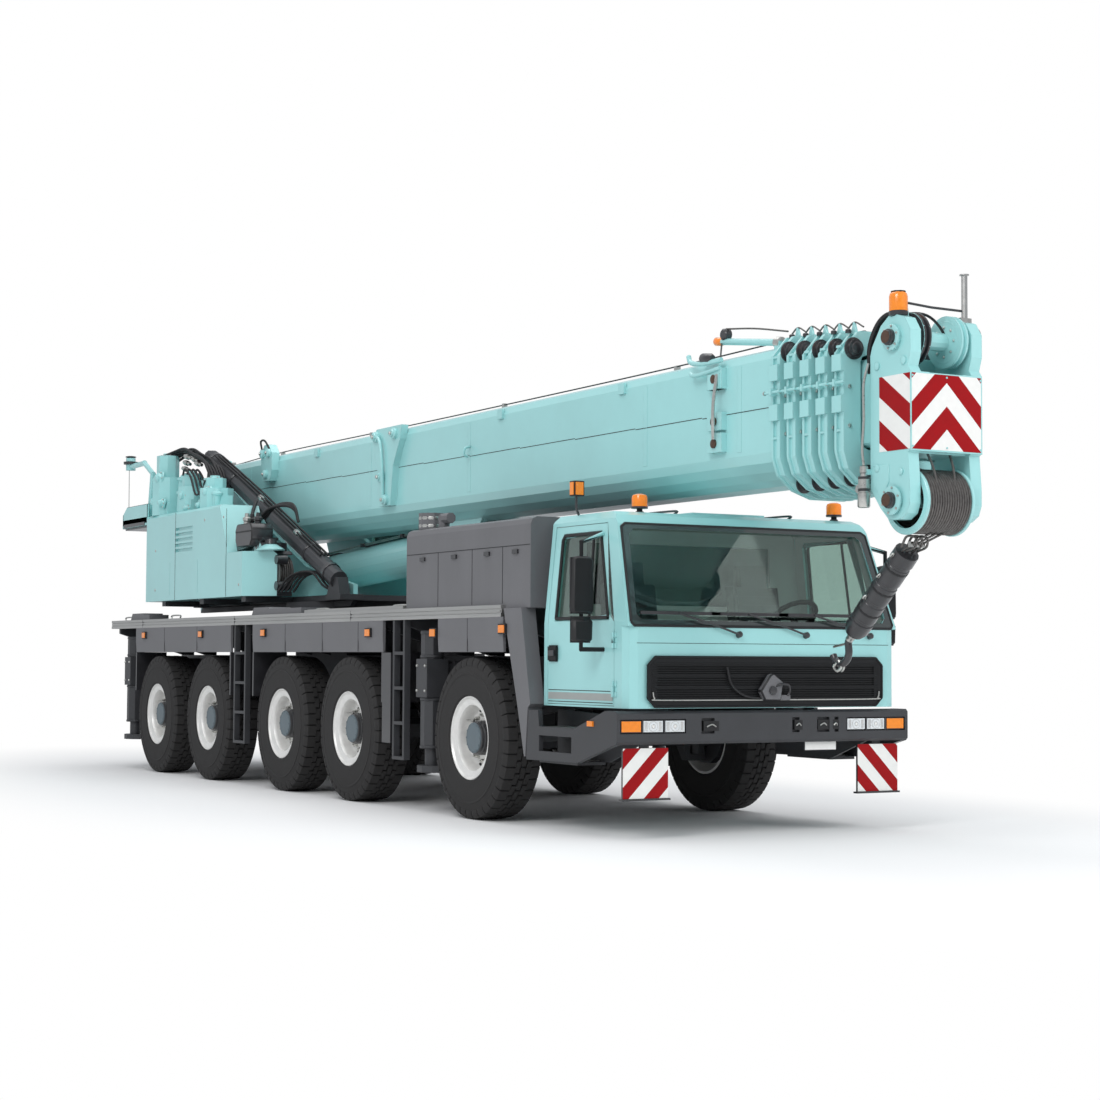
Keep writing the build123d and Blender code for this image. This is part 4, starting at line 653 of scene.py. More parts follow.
# ---------------------------------------------------------------- wheels
def tyre_data():
    """One tyre about its own centre: carcass, sidewall rings and five rows of tread blocks."""
    low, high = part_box("tyre_1_left")
    radius = (high.z - low.z) / 2
    half = (high.y - low.y) / 2
    depth = sizes().tread_depth
    base = radius - depth
    bead = 0.3565
    maker = Maker("tyre", None, None, "tyre")
    wall = [
        (-half + 0.016, bead), (-half + 0.004, bead + 0.014), (-half + 0.006, bead + 0.03), (-half, 0.46),
        (-half + 0.003, 0.535), (-half, 0.54), (-half, 0.552), (-half + 0.006, 0.557), (-half + 0.012, 0.6),
        (-half + 0.026, base - 0.018), (-half + 0.048, base)]
    profile = wall + [(0.0, base + 0.002)] + [(-y, r) for y, r in reversed(wall)]
    maker.turned(HUB, LEFT, profile, "tyre", 76, caps=False)
    inner = [(half - 0.016, bead), (-half + 0.016, bead)]
    maker.turned(HUB, LEFT, inner, "tyre", 76, caps=False)
    count = sizes().lug_count
    pitch = 2 * math.pi / count
    # Each row of blocks: its middle, its width, and its shift round the tyre in pitches.
    rows = (
        (0.104, 0.07, 0.0), (0.052, 0.046, 0.5), (0.0, 0.046, 0.0), (-0.052, 0.046, 0.5),
        (-0.104, 0.07, 0.0))
    for row, (centre, width, shift) in enumerate(rows):
        for i in range(count):
            middle_angle = (i + shift) * pitch
            gap = 0.10 if row in (0, 4) else 0.13
            angles = [
                middle_angle + pitch * f for f in (-0.5 + gap / 2, -0.5 + gap / 2 + 0.04,
                0.5 - gap / 2 - 0.04, 0.5 - gap / 2)]
            drops = (0.005, 0.0, 0.0, 0.005)
            skew = 0.007 if row in (1, 3) else 0.0
            points = []
            for k, (angle, drop) in enumerate(zip(angles, drops)):
                lean = skew * (-1 if k < 2 else 1)
                y0, y1 = centre - width / 2 + lean, centre + width / 2 + lean
                if row in (0, 4):
                    sign = 1 if row == 0 else -1
                    y_in, y_out = sign * 0.071, sign * (half - 0.030)
                    section = [
                        (y_in, base - 0.002), (y_in + sign * 0.002, radius - drop),
                        (y_out, radius - 0.006 - drop), (sign * (half - 0.011 - drop * 0.5), radius - 0.045),
                        (sign * (half - 0.013), radius - 0.075), (sign * (half - 0.05), base - 0.004)]
                else:
                    section = [
                        (y0, base - 0.002), (y0 + 0.002, radius - drop), (y1 - 0.002, radius - drop),
                        (y1, base - 0.002)]
                for y, r in section:
                    points.append((r * math.sin(angle), y, -r * math.cos(angle)))
            n = len(section)
            rings = [tuple(range(n)), tuple(reversed(range(3 * n, 4 * n)))]
            for k in range(3):
                for j in range(n):
                    m = (j + 1) % n
                    rings.append((k * n + m, k * n + j, (k + 1) * n + j, (k + 1) * n + m))
            maker.facets(points, rings, "tyre")
    return maker


def place_wheels(prefix, maker):
    """Puts the same mesh at every wheel, turned about for the right side, each standing for its own node."""
    first = maker.done(32)
    data = first.data
    bpy.data.objects.remove(first)
    for number in AXLES:
        for side in SIDES:
            piece = bpy.data.objects.new(f"{prefix}_{number}_{side}_dressed", data)
            bpy.context.scene.collection.objects.link(piece)
            turn = Matrix.Rotation(math.pi, 4, "Z") if side == "right" else Matrix.Identity(4)
            piece.matrix_world = Matrix.Translation(middle(f"tyre_{number}_{side}")) @ turn
            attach(piece, f"wheel_{number}_{side}")
            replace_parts(piece, f"{prefix}_{number}_{side}")


class CRANE_OT_tyres(bpy.types.Operator):
    """Tyres with rings on their sidewalls and five rows of staggered blocks"""
    bl_idname = "crane.tyres"
    bl_label = "Tyres"

    def execute(self, context):
        place_wheels("tyre", tyre_data())
        return {"FINISHED"}


class CRANE_OT_rims(bpy.types.Operator):
    """Steel rims with a deep dish, hub caps and wheel nuts"""
    bl_idname = "crane.rims"
    bl_label = "Rims"

    def execute(self, context):
        maker = Maker("rim", None, None, "rim")
        outside = [
            (0.15, 0.3555), (0.166, 0.3555), (0.1715, 0.351), (0.1715, 0.344), (0.166, 0.339), (0.16, 0.336),
            (0.154, 0.331), (0.15, 0.322), (0.143, 0.292), (0.144, 0.286), (0.141, 0.279), (0.13, 0.274),
            (0.108, 0.268), (0.06, 0.262), (0.03, 0.252), (0.018, 0.238), (0.014, 0.222), (0.02, 0.19),
            (0.026, 0.175), (0.026, 0.14), (-0.02, 0.138)]
        maker.turned(HUB, LEFT, outside, "rim", 72, caps=False)
        back = [
            (0.15, 0.3555), (-0.1715, 0.3555), (-0.1715, 0.335), (-0.08, 0.3), (-0.06, 0.292), (-0.02, 0.27),
            (-0.02, 0.138)]
        maker.turned(HUB, LEFT, back, "rim", 72, caps=False)
        hub = [(-0.03, 0.148), (0.09, 0.146), (0.096, 0.140), (0.118, 0.138), (0.124, 0.132)]
        maker.turned(HUB, LEFT, hub, "black", 48)
        maker.turned(
            HUB, LEFT, [(0.122, 0.13), (0.133, 0.129), (0.1365, 0.124), (0.1368, 0.05), (0.1372, 0.045)],
            "hub", 48)
        maker.nuts_round((0, 0.1366, 0), LEFT, 0.118, 12, 0.014, 0.0045, "hub")
        for i in range(10):
            angle = 2 * math.pi * (i + 0.5) / 10
            spot = (0.196 * math.cos(angle), 0.022, 0.196 * math.sin(angle))
            maker.turned(spot, LEFT, [(0, 0.023), (0.006, 0.022)], "zinc", 14)
            maker.nut(spot, LEFT, 0.036, 0.036, "zinc")
            maker.turned(spot, LEFT, [(0.03, 0.010), (0.052, 0.009)], "zinc", 8)
        for i in range(10):
            angle = 2 * math.pi * i / 10
            spot = (0.243 * math.cos(angle), 0.026, 0.243 * math.sin(angle))
            maker.turned(
                spot, (math.cos(angle) * 0.3, 1, math.sin(angle) * 0.3), [(-0.006, 0.017), (0.004, 0.016)],
                "rubber", 14)
        maker.tube([(0.2, 0.03, 0.13), (0.22, 0.07, 0.145), (0.235, 0.12, 0.155)], 0.006, "zinc", 6)
        place_wheels("rim", maker)
        return {"FINISHED"}


# ---------------------------------------------------------------- carrier
def deck_edges():
    """Ribs and joints of the deck's edge, side markers, skirt seams and rear lamps."""
    low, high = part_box("deck")
    half, top = high.y, high.z
    maker = Maker("deck_trim", "carrier", "deck_aluminium", "aluminium")
    for sign in (-1, 1):
        for z in (top - 0.012, top - 0.05, top - 0.088):
            maker.block(
                (low.x + 0.01, sign * (half - 0.012), z - 0.007), (high.x - 0.01, sign * (half + 0.002),
                z + 0.007), "aluminium", 0.003)
        x = low.x + 1.2
        while x < high.x - 0.6:
            maker.block(
                (x, sign * (half - 0.02), top - 0.099), (x + 0.004, sign * (half + 0.0028), top - 0.001),
                "black", 0.0)
            x += 3.06
        for x, z in ((-5.9, 1.612), (-3.95, 1.61), (-2.07, 1.61), (0.55, 1.59), (1.92, 1.578), (3.2, 1.6)):
            base = half + (0.014 if sign > 0 else 0.020)
            maker.block(
                (x - 0.062, sign * (half - 0.004), z - 0.042), (x + 0.062, sign * base, z + 0.042), "rubber")
            maker.block(
                (x - 0.05, sign * (half + 0.006), z - 0.031), (x + 0.05, sign * (half + 0.026), z + 0.031),
                "amber", 0.006)
        for x in (-5.2, -4.1, -1.5, -0.55, 0.3, 2.55):
            maker.block(
                (x - 0.003, sign * (half - 0.002), 1.415), (x + 0.003, sign * (half + 0.0015), 1.695),
                "rubber", 0.0)
    rear = low.x
    for sign in (-1, 1):
        for i, key in enumerate(("red_lens", "amber", "lens")):
            y = sign * (0.78 + 0.12 * i)
            maker.turned(
                (rear + 0.001, y, top - 0.05), BACK, [(0, 0.042), (0.014, 0.041), (0.02, 0.03)], key, 20)
    maker.done()


def deck_rails():
    """Grab rails on the right edge of the deck and the ribbed plank between them."""
    half, top = DECK_HALF, DECK_TOP
    rails = Maker("deck_rails", "carrier", "deck_aluminium", "aluminium")
    for x in (-6.9, -5.2, -0.9, 0.9):
        rails.tube(
            [(x, -half + 0.09, top), (x, -half + 0.09, top + 0.035), (x + 0.28, -half + 0.09, top + 0.035),
            (x + 0.28, -half + 0.09, top)], 0.009, "zinc", 8)
    plank_low, plank_high = -1.15, 1.15
    rails.block(
        (plank_low, -half + 0.06, top + 0.001), (plank_high, -half + 0.36, top + 0.03), "aluminium", 0.006)
    for i in range(9):
        y = -half + 0.085 + i * 0.031
        rails.block(
            (plank_low + 0.02, y, top + 0.029), (plank_high - 0.02, y + 0.012, top + 0.036), "aluminium",
            0.002)
    rails.done()


class CRANE_OT_deck_trim(bpy.types.Operator):
    """Ribs on the deck edge, side markers, skirt seams, rear lamps, grab rails and the plank"""
    bl_idname = "crane.deck_trim"
    bl_label = "Deck and skirt trim"

    def execute(self, context):
        deck_edges()
        deck_rails()
        return {"FINISHED"}


def housing_details():
    """Seams, handles, louvres and roof bars of the engine housing, and the exhaust's bands."""
    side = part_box("body_panels")[1].y - 0.042
    maker = Maker("housing_trim", "carrier", "panel_grey", "carrier")
    for sign in (-1, 1):
        y0, y1 = sign * (side - 0.002), sign * (side + 0.002)
        maker.block((1.27, y0, 2.279), (3.57, y1, 2.285), "rubber", 0.0)
        for x in (1.9, 2.55, 3.1):
            maker.block((x - 0.003, y0, 1.81), (x + 0.003, y1, 2.28), "rubber", 0.0)
        for x in (1.6, 2.22, 2.83, 3.33):
            maker.block(
                (x - 0.045, sign * (side - 0.002), 2.215), (x + 0.045, sign * (side + 0.016), 2.25), "black",
                0.006)
    for i in range(9):
        z = 1.9 + i * 0.042
        maker.block((1.246, -0.9, z), (1.264, 0.9, z + 0.02), "black", 0.004)
    for i in range(14):
        x = 1.5 + i * 0.06
        maker.block((x, -0.65, 2.506), (x + 0.03, 0.65, 2.518), "black", 0.004)
    exhaust = (1.42, -side + 0.17)
    for z in (2.53, 2.60):
        maker.turned(
            (exhaust[0], exhaust[1], z), UP, [(0, 0.117), (0.014, 0.119), (0.028, 0.117)], "zinc", 32,
            caps=False)
    maker.done()


def guard_details():
    """Flaps behind the wheels and the guards at the first step."""
    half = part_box("body_panels")[1].y
    guards = Maker("guard_trim", "carrier", "panel_grey", "skirt")
    for sign in (-1, 1):
        for x in (-6.24, -3.07, -2.40, 0.82):
            guards.block(
                (x, sign * (half - 0.38), 0.95), (x + 0.03, sign * (half - 0.004), 1.41), "black", 0.006)
        guards.block((0.85, sign * (half - 0.03), 0.585), (1.03, sign * half, 1.405), "black", 0.01)
    guards.done()


class CRANE_OT_skirt_trim(bpy.types.Operator):
    """Engine housing seams, handles, louvres, exhaust bands and the flaps behind the wheels"""
    bl_idname = "crane.skirt_trim"
    bl_label = "Skirt and housing trim"

    def execute(self, context):
        housing_details()
        guard_details()
        return {"FINISHED"}


def striped(maker, corner, along, up, width, height, pitch, value, thick):
    """A thin plate cut into red and white stripes.

    value(a, b) tells where a spot lies across the stripes. When it has the same value at both ends and
    another in the middle, the stripes are folded there into a chevron.
    """
    corner, along, up = Vector(corner), Vector(along), Vector(up)
    face_out = along.cross(up).normalized()
    net = bmesh.new()
    spots = [net.verts.new((a, b, 0)) for a, b in ((0, 0), (width, 0), (width, height), (0, height))]
    net.faces.new(spots)
    folded = value(0, 0) == value(width, 0) and value(width / 2, 0) != value(0, 0)
    if folded:
        bmesh.ops.bisect_plane(
            net, geom=net.verts[:] + net.edges[:] + net.faces[:], plane_co=(width / 2, 0, 0),
            plane_no=(1, 0, 0))
    reach = [value(a, b) for a in (0, width / 2, width) for b in (0, height)]
    step = math.floor(min(reach) / pitch)
    while step * pitch < max(reach):
        for left in ((True, False) if folded else (True,)):
            base = 0.0 if left else width / 2
            slope_a = value(base + 0.01, 0) - value(base, 0)
            slope_b = value(base, 0.01) - value(base, 0)
            normal = Vector((slope_a, slope_b, 0)).normalized()
            start = value(base, 0)
            spot = Vector((base, 0, 0)) + normal * (step * pitch - start) * 0.01 / Vector((slope_a,
                slope_b)).length
            chosen = [f for f in net.faces if not folded or (f.calc_center_median().x < width / 2) == left]
            geom = dict.fromkeys(each for f in chosen for each in [f, *f.edges, *f.verts])
            bmesh.ops.bisect_plane(net, geom=list(geom), plane_co=spot, plane_no=normal)
        step += 1
    for face in net.faces:
        middle_spot = face.calc_center_median()
        key = "red" if math.floor(value(middle_spot.x, middle_spot.y) / pitch) % 2 == 0 else "white"
        ring = [v.co.copy() for v in face.verts]
        front = [corner + along * p.x + up * p.y + face_out * thick for p in ring]
        rear = [corner + along * p.x + up * p.y for p in ring]
        n = len(ring)
        rings = [tuple(range(n)), tuple(reversed(range(n, 2 * n)))]
        rings += [(i, n + i, n + (i + 1) % n, (i + 1) % n) for i in range(n)]
        maker.facets(front + rear, rings, key)
    net.free()


def width_boards(half, front):
    """The two striped boards under the bumper's ends."""
    pitch = sizes().stripe_pitch
    boards = Maker("width_boards", "carrier", "grey_paint", "red")
    board_x = front - 0.0395
    inner, outer = half - 0.477, half - 0.077
    for sign in (-1, 1):
        corner = (board_x, -outer if sign < 0 else inner, 0.312)
        striped(
            boards, corner, LEFT, UP, 0.4, 0.376, pitch * 1.35, lambda a, b,
            s=sign: b + 10.039 - (a if s < 0 else 0.4 - a), 0.003)
    boards.done()


def front_lamps(half, front):
    """Head lamps, indicators, small lamps and the blank plate in the bumper."""
    maker = Maker("front_lamps", "carrier", "grey_paint", "lens")
    for sign in (-1, 1):
        for i in range(3):
            centre = sign * (half - 0.615 + 0.195 * (i + 0.5))
            x = front - 0.022
            if i < 2:
                maker.block(
                    (x, centre - 0.086, LAMP_Z - 0.042), (front - 0.0045, centre + 0.086, LAMP_Z + 0.042),
                    "lens", 0.003)
                for out, radius, key in (
                        (-0.003, 0.04, "mirror"), (-0.002, 0.035, "lens"), (-0.001, 0.018, "mirror"),
                        (0.0005, 0.01, "white")):
                    maker.turned((front, centre, LAMP_Z), AHEAD, [(-0.01, radius), (out, radius)], key, 24)
                for y in (centre - 0.062, centre + 0.062):
                    maker.block(
                        (front - 0.01, y - 0.012, LAMP_Z - 0.034), (front - 0.0035, y + 0.012,
                        LAMP_Z + 0.034), "mirror", 0.003)
            else:
                maker.block(
                    (x, centre - 0.084, LAMP_Z - 0.04), (front - 0.0005, centre + 0.084, LAMP_Z + 0.04),
                    "amber", 0.008)
        for i in range(2):
            y = sign * (half - 0.615 + 0.195 * (i + 1))
            maker.block(
                (front - 0.024, y - 0.006, LAMP_Z - 0.05), (front + 0.0005, y + 0.006, LAMP_Z + 0.048),
                "black", 0.002)
        maker.block(
            (front - 0.42, sign * (half - 0.004), 0.845), (front - 0.34, sign * (half + 0.014), 0.885),
            "amber", 0.005)
    for y, reach in ((-0.53, 0.07), (0.29, 0.038), (0.53, 0.052), (0.65, 0.026)):
        maker.block(
            (front - 0.03, y - reach, LAMP_Z - 0.04), (front + 0.001, y + reach, LAMP_Z + 0.036), "rubber",
            0.012)
        maker.tube(
            [(front + 0.001, y - reach * 0.6, 0.845), (front + 0.008, y, 0.862),
            (front + 0.001, y + reach * 0.6, 0.845)], 0.006, "zinc", 8)
    maker.block((front - 0.0595, 0.395, 0.65), (front - 0.056, 0.695, 0.742), "white", 0.002)
    maker.done()


def step_treads(half):
    """Ribs on the two steps below each door."""
    steps = Maker("step_treads", "carrier", "deck_aluminium", "aluminium")
    for sign in (-1, 1):
        for z in (0.8125, 0.5605):
            for i in range(8):
                x = 3.80 + i * 0.064
                steps.block(
                    (x, sign * (half - 0.28), z), (x + 0.03, sign * (half - 0.045), z + 0.008), "aluminium",
                    0.002)
    steps.done()


class CRANE_OT_bumper_trim(bpy.types.Operator):
    """Striped width boards, head lamps, indicators, the blank plate and step treads"""
    bl_idname = "crane.bumper_trim"
    bl_label = "Bumper trim"

    def execute(self, context):
        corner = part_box("bumper")[1]
        width_boards(corner.y, corner.x)
        front_lamps(corner.y, corner.x)
        step_treads(corner.y)
        return {"FINISHED"}


# ---------------------------------------------------------------- carrier cab
def on_windshield(z, out=0.0):
    """The x of the windshield's plane at a height, moved out along its slope."""
    low_x, low_z, high_x, high_z = 4.985, 1.606, 4.700, 2.400
    return low_x + (high_x - low_x) * (z - low_z) / (high_z - low_z) + out


def windshield_band(maker):
    """The dark enamelled edge of the windshield and the seal round it."""
    inner = [
        (-1.14, 1.655), (1.14, 1.655), (1.178, 1.7), (1.112, 2.318), (1.06, 2.362), (-1.06, 2.362),
        (-1.112, 2.318), (-1.178, 1.7)]
    outer = [
        (-1.215, 1.612), (1.215, 1.612), (1.238, 1.64), (1.168, 2.372), (1.13, 2.398), (-1.13, 2.398),
        (-1.168, 2.372), (-1.238, 1.64)]
    count = len(inner)
    band = [(on_windshield(z, 0.006), y, z) for y, z in outer] + [
        (on_windshield(z, 0.006), y, z) for y, z in inner]
    band += [(on_windshield(z, -0.004), y, z) for y, z in outer]
    rings = []
    for i in range(count):
        j = (i + 1) % count
        rings += [(i, j, count + j, count + i), (j, i, 2 * count + i, 2 * count + j)]
    maker.facets(band, rings, "ceramic")
    maker.closed_line([(on_windshield(z, 0.002), y, z) for y, z in outer], 0.011, "rubber")


def wipers(maker):
    """Three wipers with their feet, arms and blades."""
    blade = sizes().wiper_length
    for y in (-0.27, 0.37, 1.0):
        foot = Vector((5.0, y, 1.548))
        middle = Vector((on_windshield(1.705, 0.045), y - 0.55, 1.708))
        maker.turned(
            foot - Vector((0.02, 0, 0)), (1, 0, 0.2), [(0, 0.026), (0.032, 0.024), (0.04, 0.014)], "black",
            16)
        maker.tube(
            [foot + Vector((0.014, 0, 0)), foot.lerp(middle, 0.5) + Vector((0.016, 0, 0.004)), middle],
            0.0085, "black", 8)
        maker.block(
            (middle.x - 0.016, y - 0.53 - blade / 2, 1.697), (middle.x - 0.004, y - 0.53 + blade / 2, 1.722),
            "black", 0.003)
        maker.block(
            (middle.x - 0.03, y - 0.53 - blade / 2, 1.703), (middle.x - 0.014, y - 0.53 + blade / 2, 1.712),
            "rubber", 0.002)


def grille(maker):
    """The frame and rails of the grille, with the wire along its foot."""
    maker.block((4.983, -1.19, 1.478), (4.9862, 1.19, 1.482), "black", 0.0)
    low_z, high_z = 1.0, 1.375
    wide = CAB_SKIN - 0.165
    outline = [
        (-wide + 0.06, low_z), (wide - 0.06, low_z), (wide, low_z + 0.06), (wide, high_z - 0.06),
        (wide - 0.06, high_z), (-wide + 0.06, high_z), (-wide, high_z - 0.06), (-wide, low_z + 0.06)]
    maker.closed_line([(5.008, y, z) for y, z in outline], 0.010, "plastic")
    for i in range(17):
        z = low_z + 0.045 + i * 0.0175
        maker.block((5.0, -wide + 0.03, z), (5.014, wide - 0.03, z + 0.007), "plastic", 0.002)
    half_wire = [(wide - 0.035, 1.11), (wide - 0.05, 1.062), (wide - 0.12, 1.05)]
    wire = [(-y, z) for y, z in half_wire] + [(0.0, 1.048)] + half_wire[::-1]
    maker.tube([(GRILLE_X, y, z) for y, z in wire], 0.006, "zinc", 8)


def coupling(maker):
    """The bracket on the grille with its roller, bow and hose."""
    maker.prism(
        [(-0.112, 1.117), (-0.07, 1.04), (0.082, 1.038), (0.108, 1.188), (0.012, 1.256), (-0.02, 1.24)], "x",
        5.004, 5.062, "skirt", 0.012)
    maker.block((5.006, 0.085, 1.045), (5.05, 0.175, 1.085), "skirt", 0.01)
    maker.turned((5.062, 0.0, 1.12), AHEAD, [(0, 0.034), (0.012, 0.034), (0.016, 0.024)], "black", 20)
    maker.tube(
        [(5.05, 0.03, 1.15), (5.085, 0.07, 1.17), (5.09, 0.13, 1.16), (5.06, 0.16, 1.11),
        (5.05, 0.15, 1.08)], 0.01, "black", 8)
    maker.tube(
        [(5.02, -0.4, 1.3), (5.03, -0.36, 1.16), (5.03, -0.24, 1.08), (5.03, -0.1, 1.06)], 0.009, "rubber",
        8)


def roof_lamps(maker):
    """Two beacons, the marker lamp on its stalk and the roof rails."""
    for x, y in ((4.45, -0.84), (4.52, 1.0)):
        maker.turned(
            (x, y, ROOF_Z), UP, [(0, 0.034), (0.012, 0.034), (0.018, 0.02), (0.034, 0.02), (0.036, 0.066),
            (0.052, 0.066), (0.054, 0.05)], "black", 24)
        maker.turned(
            (x, y, ROOF_Z + 0.048), UP, [(0, 0.0625), (0.075, 0.0625), (0.094, 0.055), (0.104, 0.03)],
            "amber", 28)
    maker.tube([(4.03, -1.12, 2.46), (4.03, -1.165, 2.54), (4.04, -1.175, 2.66)], 0.010, "black", 8)
    maker.block((4.02, -1.225, 2.645), (4.095, -1.135, 2.765), "rubber", 0.008)
    maker.block((4.030, -1.231, 2.655), (4.085, -1.223, 2.755), "amber", 0.004)
    maker.block((4.093, -1.215, 2.655), (4.100, -1.145, 2.755), "amber", 0.004)
    for y in (-0.55, 0.55):
        maker.tube([(3.85, y, 2.5), (3.85, y, 2.525), (4.5, y, 2.525), (4.5, y, 2.5)], 0.009, "black", 8)


class CRANE_OT_cab_trim(bpy.types.Operator):
    """Windshield band and seal, wipers, grille rails, the coupling and roof lamps"""
    bl_idname = "crane.cab_trim"
    bl_label = "Cab trim"

    def execute(self, context):
        maker = Maker("cab_trim", "carrier", "cab_trim", "rubber")
        windshield_band(maker)
        wipers(maker)
        grille(maker)
        coupling(maker)
        roof_lamps(maker)
        maker.done()
        return {"FINISHED"}


def door_details(side):
    """One door's strip, window seals, handle and mirror."""
    sign = 1 if side == "left" else -1
    maker = Maker(f"door_trim_{side}", f"cab_door_{side}_leaf", "green_paint", "rubber")
    skin = CAB_SKIN

    def face_y(z, out):
        """The y of the door's outer face at a height, moved out."""
        return sign * (skin - side_lean(z) + out)

    for z, half, key, thick, edge in (
            (1.067, 0.027, "strip", 0.0035, 0.001), (1.022, 0.003, "rubber", 0.0015, 0),
            (1.112, 0.003, "rubber", 0.0015, 0)):
        maker.block(
            (3.775, sign * (skin - 0.001), z - half), (4.765, sign * (skin + thick), z + half), key, edge)
    window = [(3.885, 1.675), (4.685, 1.675), (4.682, 1.70), (4.472, 2.335), (3.915, 2.335), (3.885, 2.30)]
    maker.closed_line([(x, face_y(z, 0.001), z) for x, z in window], 0.013, "rubber")
    maker.tube(
        [(4.4, face_y(1.675, -0.002), 1.675), (4.36, face_y(2.33, -0.002), 2.33)], 0.011, "rubber", 8,
        smooth=False)
    maker.block((3.80, sign * (skin + 0.006), 1.345), (3.93, sign * (skin + 0.026), 1.455), "plastic", 0.012)
    maker.block((3.825, sign * (skin + 0.026), 1.38), (3.915, sign * (skin + 0.040), 1.425), "black", 0.008)
    mirror_y = sign * 1.46
    maker.block((4.5765, mirror_y - 0.072, 1.725), (4.582, mirror_y + 0.072, 2.105), "mirror", 0.006)
    maker.block((4.5765, mirror_y - 0.065, 1.505), (4.582, mirror_y + 0.065, 1.655), "mirror", 0.006)
    shell = [
        (mirror_y - 0.092, 1.7), (mirror_y + 0.092, 1.7), (mirror_y + 0.098, 1.75), (mirror_y + 0.092, 2.12),
        (mirror_y + 0.06, 2.14), (mirror_y - 0.06, 2.14), (mirror_y - 0.092, 2.12), (mirror_y - 0.098, 1.75)]
    maker.prism(shell, "x", 4.582, 4.648, "plastic", 0.018)
    small = [
        (mirror_y - 0.085, 1.485), (mirror_y + 0.085, 1.485), (mirror_y + 0.09, 1.66),
        (mirror_y - 0.09, 1.66)]
    maker.prism(small, "x", 4.582, 4.652, "plastic", 0.02)
    maker.done()


class CRANE_OT_door_trim(bpy.types.Operator):
    """Marking strips, window seals, handles and mirrors on both cab doors"""
    bl_idname = "crane.door_trim"
    bl_label = "Door trim"

    def execute(self, context):
        for side in SIDES:
            door_details(side)
        return {"FINISHED"}


class CRANE_OT_cab_inside(bpy.types.Operator):
    """Seat cushions with belts, the steering wheel's rim and dash covers in the carrier cab"""
    bl_idname = "crane.cab_inside"
    bl_label = "Cab inside"

    def execute(self, context):
        maker = Maker("cab_inside", "carrier", "cab_trim", "cloth")
        for y in (-SEAT_Y, SEAT_Y):
            for k in range(5):
                z = 1.60 + k * 0.072
                maker.block(
                    (3.955 - (z - 1.5) * 0.17 + 0.05, y - 0.2, z), (3.985 - (z - 1.5) * 0.17 + 0.05, y + 0.2,
                    z + 0.062), "cloth", 0.012)
            for k in range(4):
                x = 4.03 + k * 0.085
                maker.block(
                    (x, y - 0.21, 1.505 + k * 0.009), (x + 0.078, y + 0.21, 1.535 + k * 0.009), "cloth",
                    0.014)
            maker.tube(
                [(3.96, y - 0.2, 1.95), (3.9, y + 0.1, 1.6), (4.02, y + 0.22, 1.52)], 0.012, "rubber", 6)
        maker.turned(
            (4.478, SEAT_Y, 1.702), (-0.614, 0, 0.789), [(-0.012, 0.19), (-0.012, 0.214), (0.0, 0.222),
            (0.012, 0.214), (0.012, 0.19), (0.0, 0.184), (-0.012, 0.19)], "rubber", 36, caps=False)
        maker.block((4.60, 0.35, 1.585), (4.70, 0.88, 1.66), "plastic", 0.02)
        maker.block((4.60, -0.9, 1.585), (4.72, -0.5, 1.605), "plastic", 0.008)
        maker.done()
        return {"FINISHED"}


# ---------------------------------------------------------------- upper works
def housing_seams(maker):
    """Seams and bolts on the pump housing's outer wall."""
    side = HOUSING_SIDE
    for x, top in ((-5.08, 3.04), (-3.41, 2.99)):
        maker.block((x - 0.003, side - 0.002, 2.02), (x + 0.003, side + 0.002, top), "black", 0.0)
    for x, z in ((-5.78, 2.15), (-5.78, 2.62), (-4.1, 2.9), (-3.02, 2.14), (-3.5, 2.9)):
        maker.turned((x, side, z), RIGHT, [(0, 0.016), (0.004, 0.015), (0.006, 0.008)], "zinc", 14)


def hose_bundle(maker):
    """Six hoses from the castings over to the strut, and four short ones below them."""
    hose = sizes().hose / 2
    routes = []
    for i in range(6):
        y = -0.86 - 0.035 * i
        lift = 0.03 * (i % 3)
        routes.append(
            [(-5.93, y - 0.16, 3.7 + lift), (-5.86, y - 0.02, 3.8 + lift * 0.5),
            (-5.62, y + 0.02, 3.79 + lift), (-5.3, y + 0.02, 3.7 + lift), (-5.02, y + 0.03, 3.62 + lift),
            (-4.82, y + 0.02, 3.55), (-4.72, y + 0.05, 3.36), (-4.62, y + 0.02, 3.14)])
    for route in routes:
        maker.tube(route, hose, "rubber", 9)
    for i in range(4):
        y = -1.16 + 0.05 * i
        maker.tube(
            [(-5.25, y, 3.5), (-5.12, y - 0.02, 3.56), (-4.95, y - 0.01, 3.45), (-4.8, y, 3.24),
            (-4.62, y + 0.02, 3.3), (-4.5, y, 3.38)], hose * 0.75, "rubber", 8)


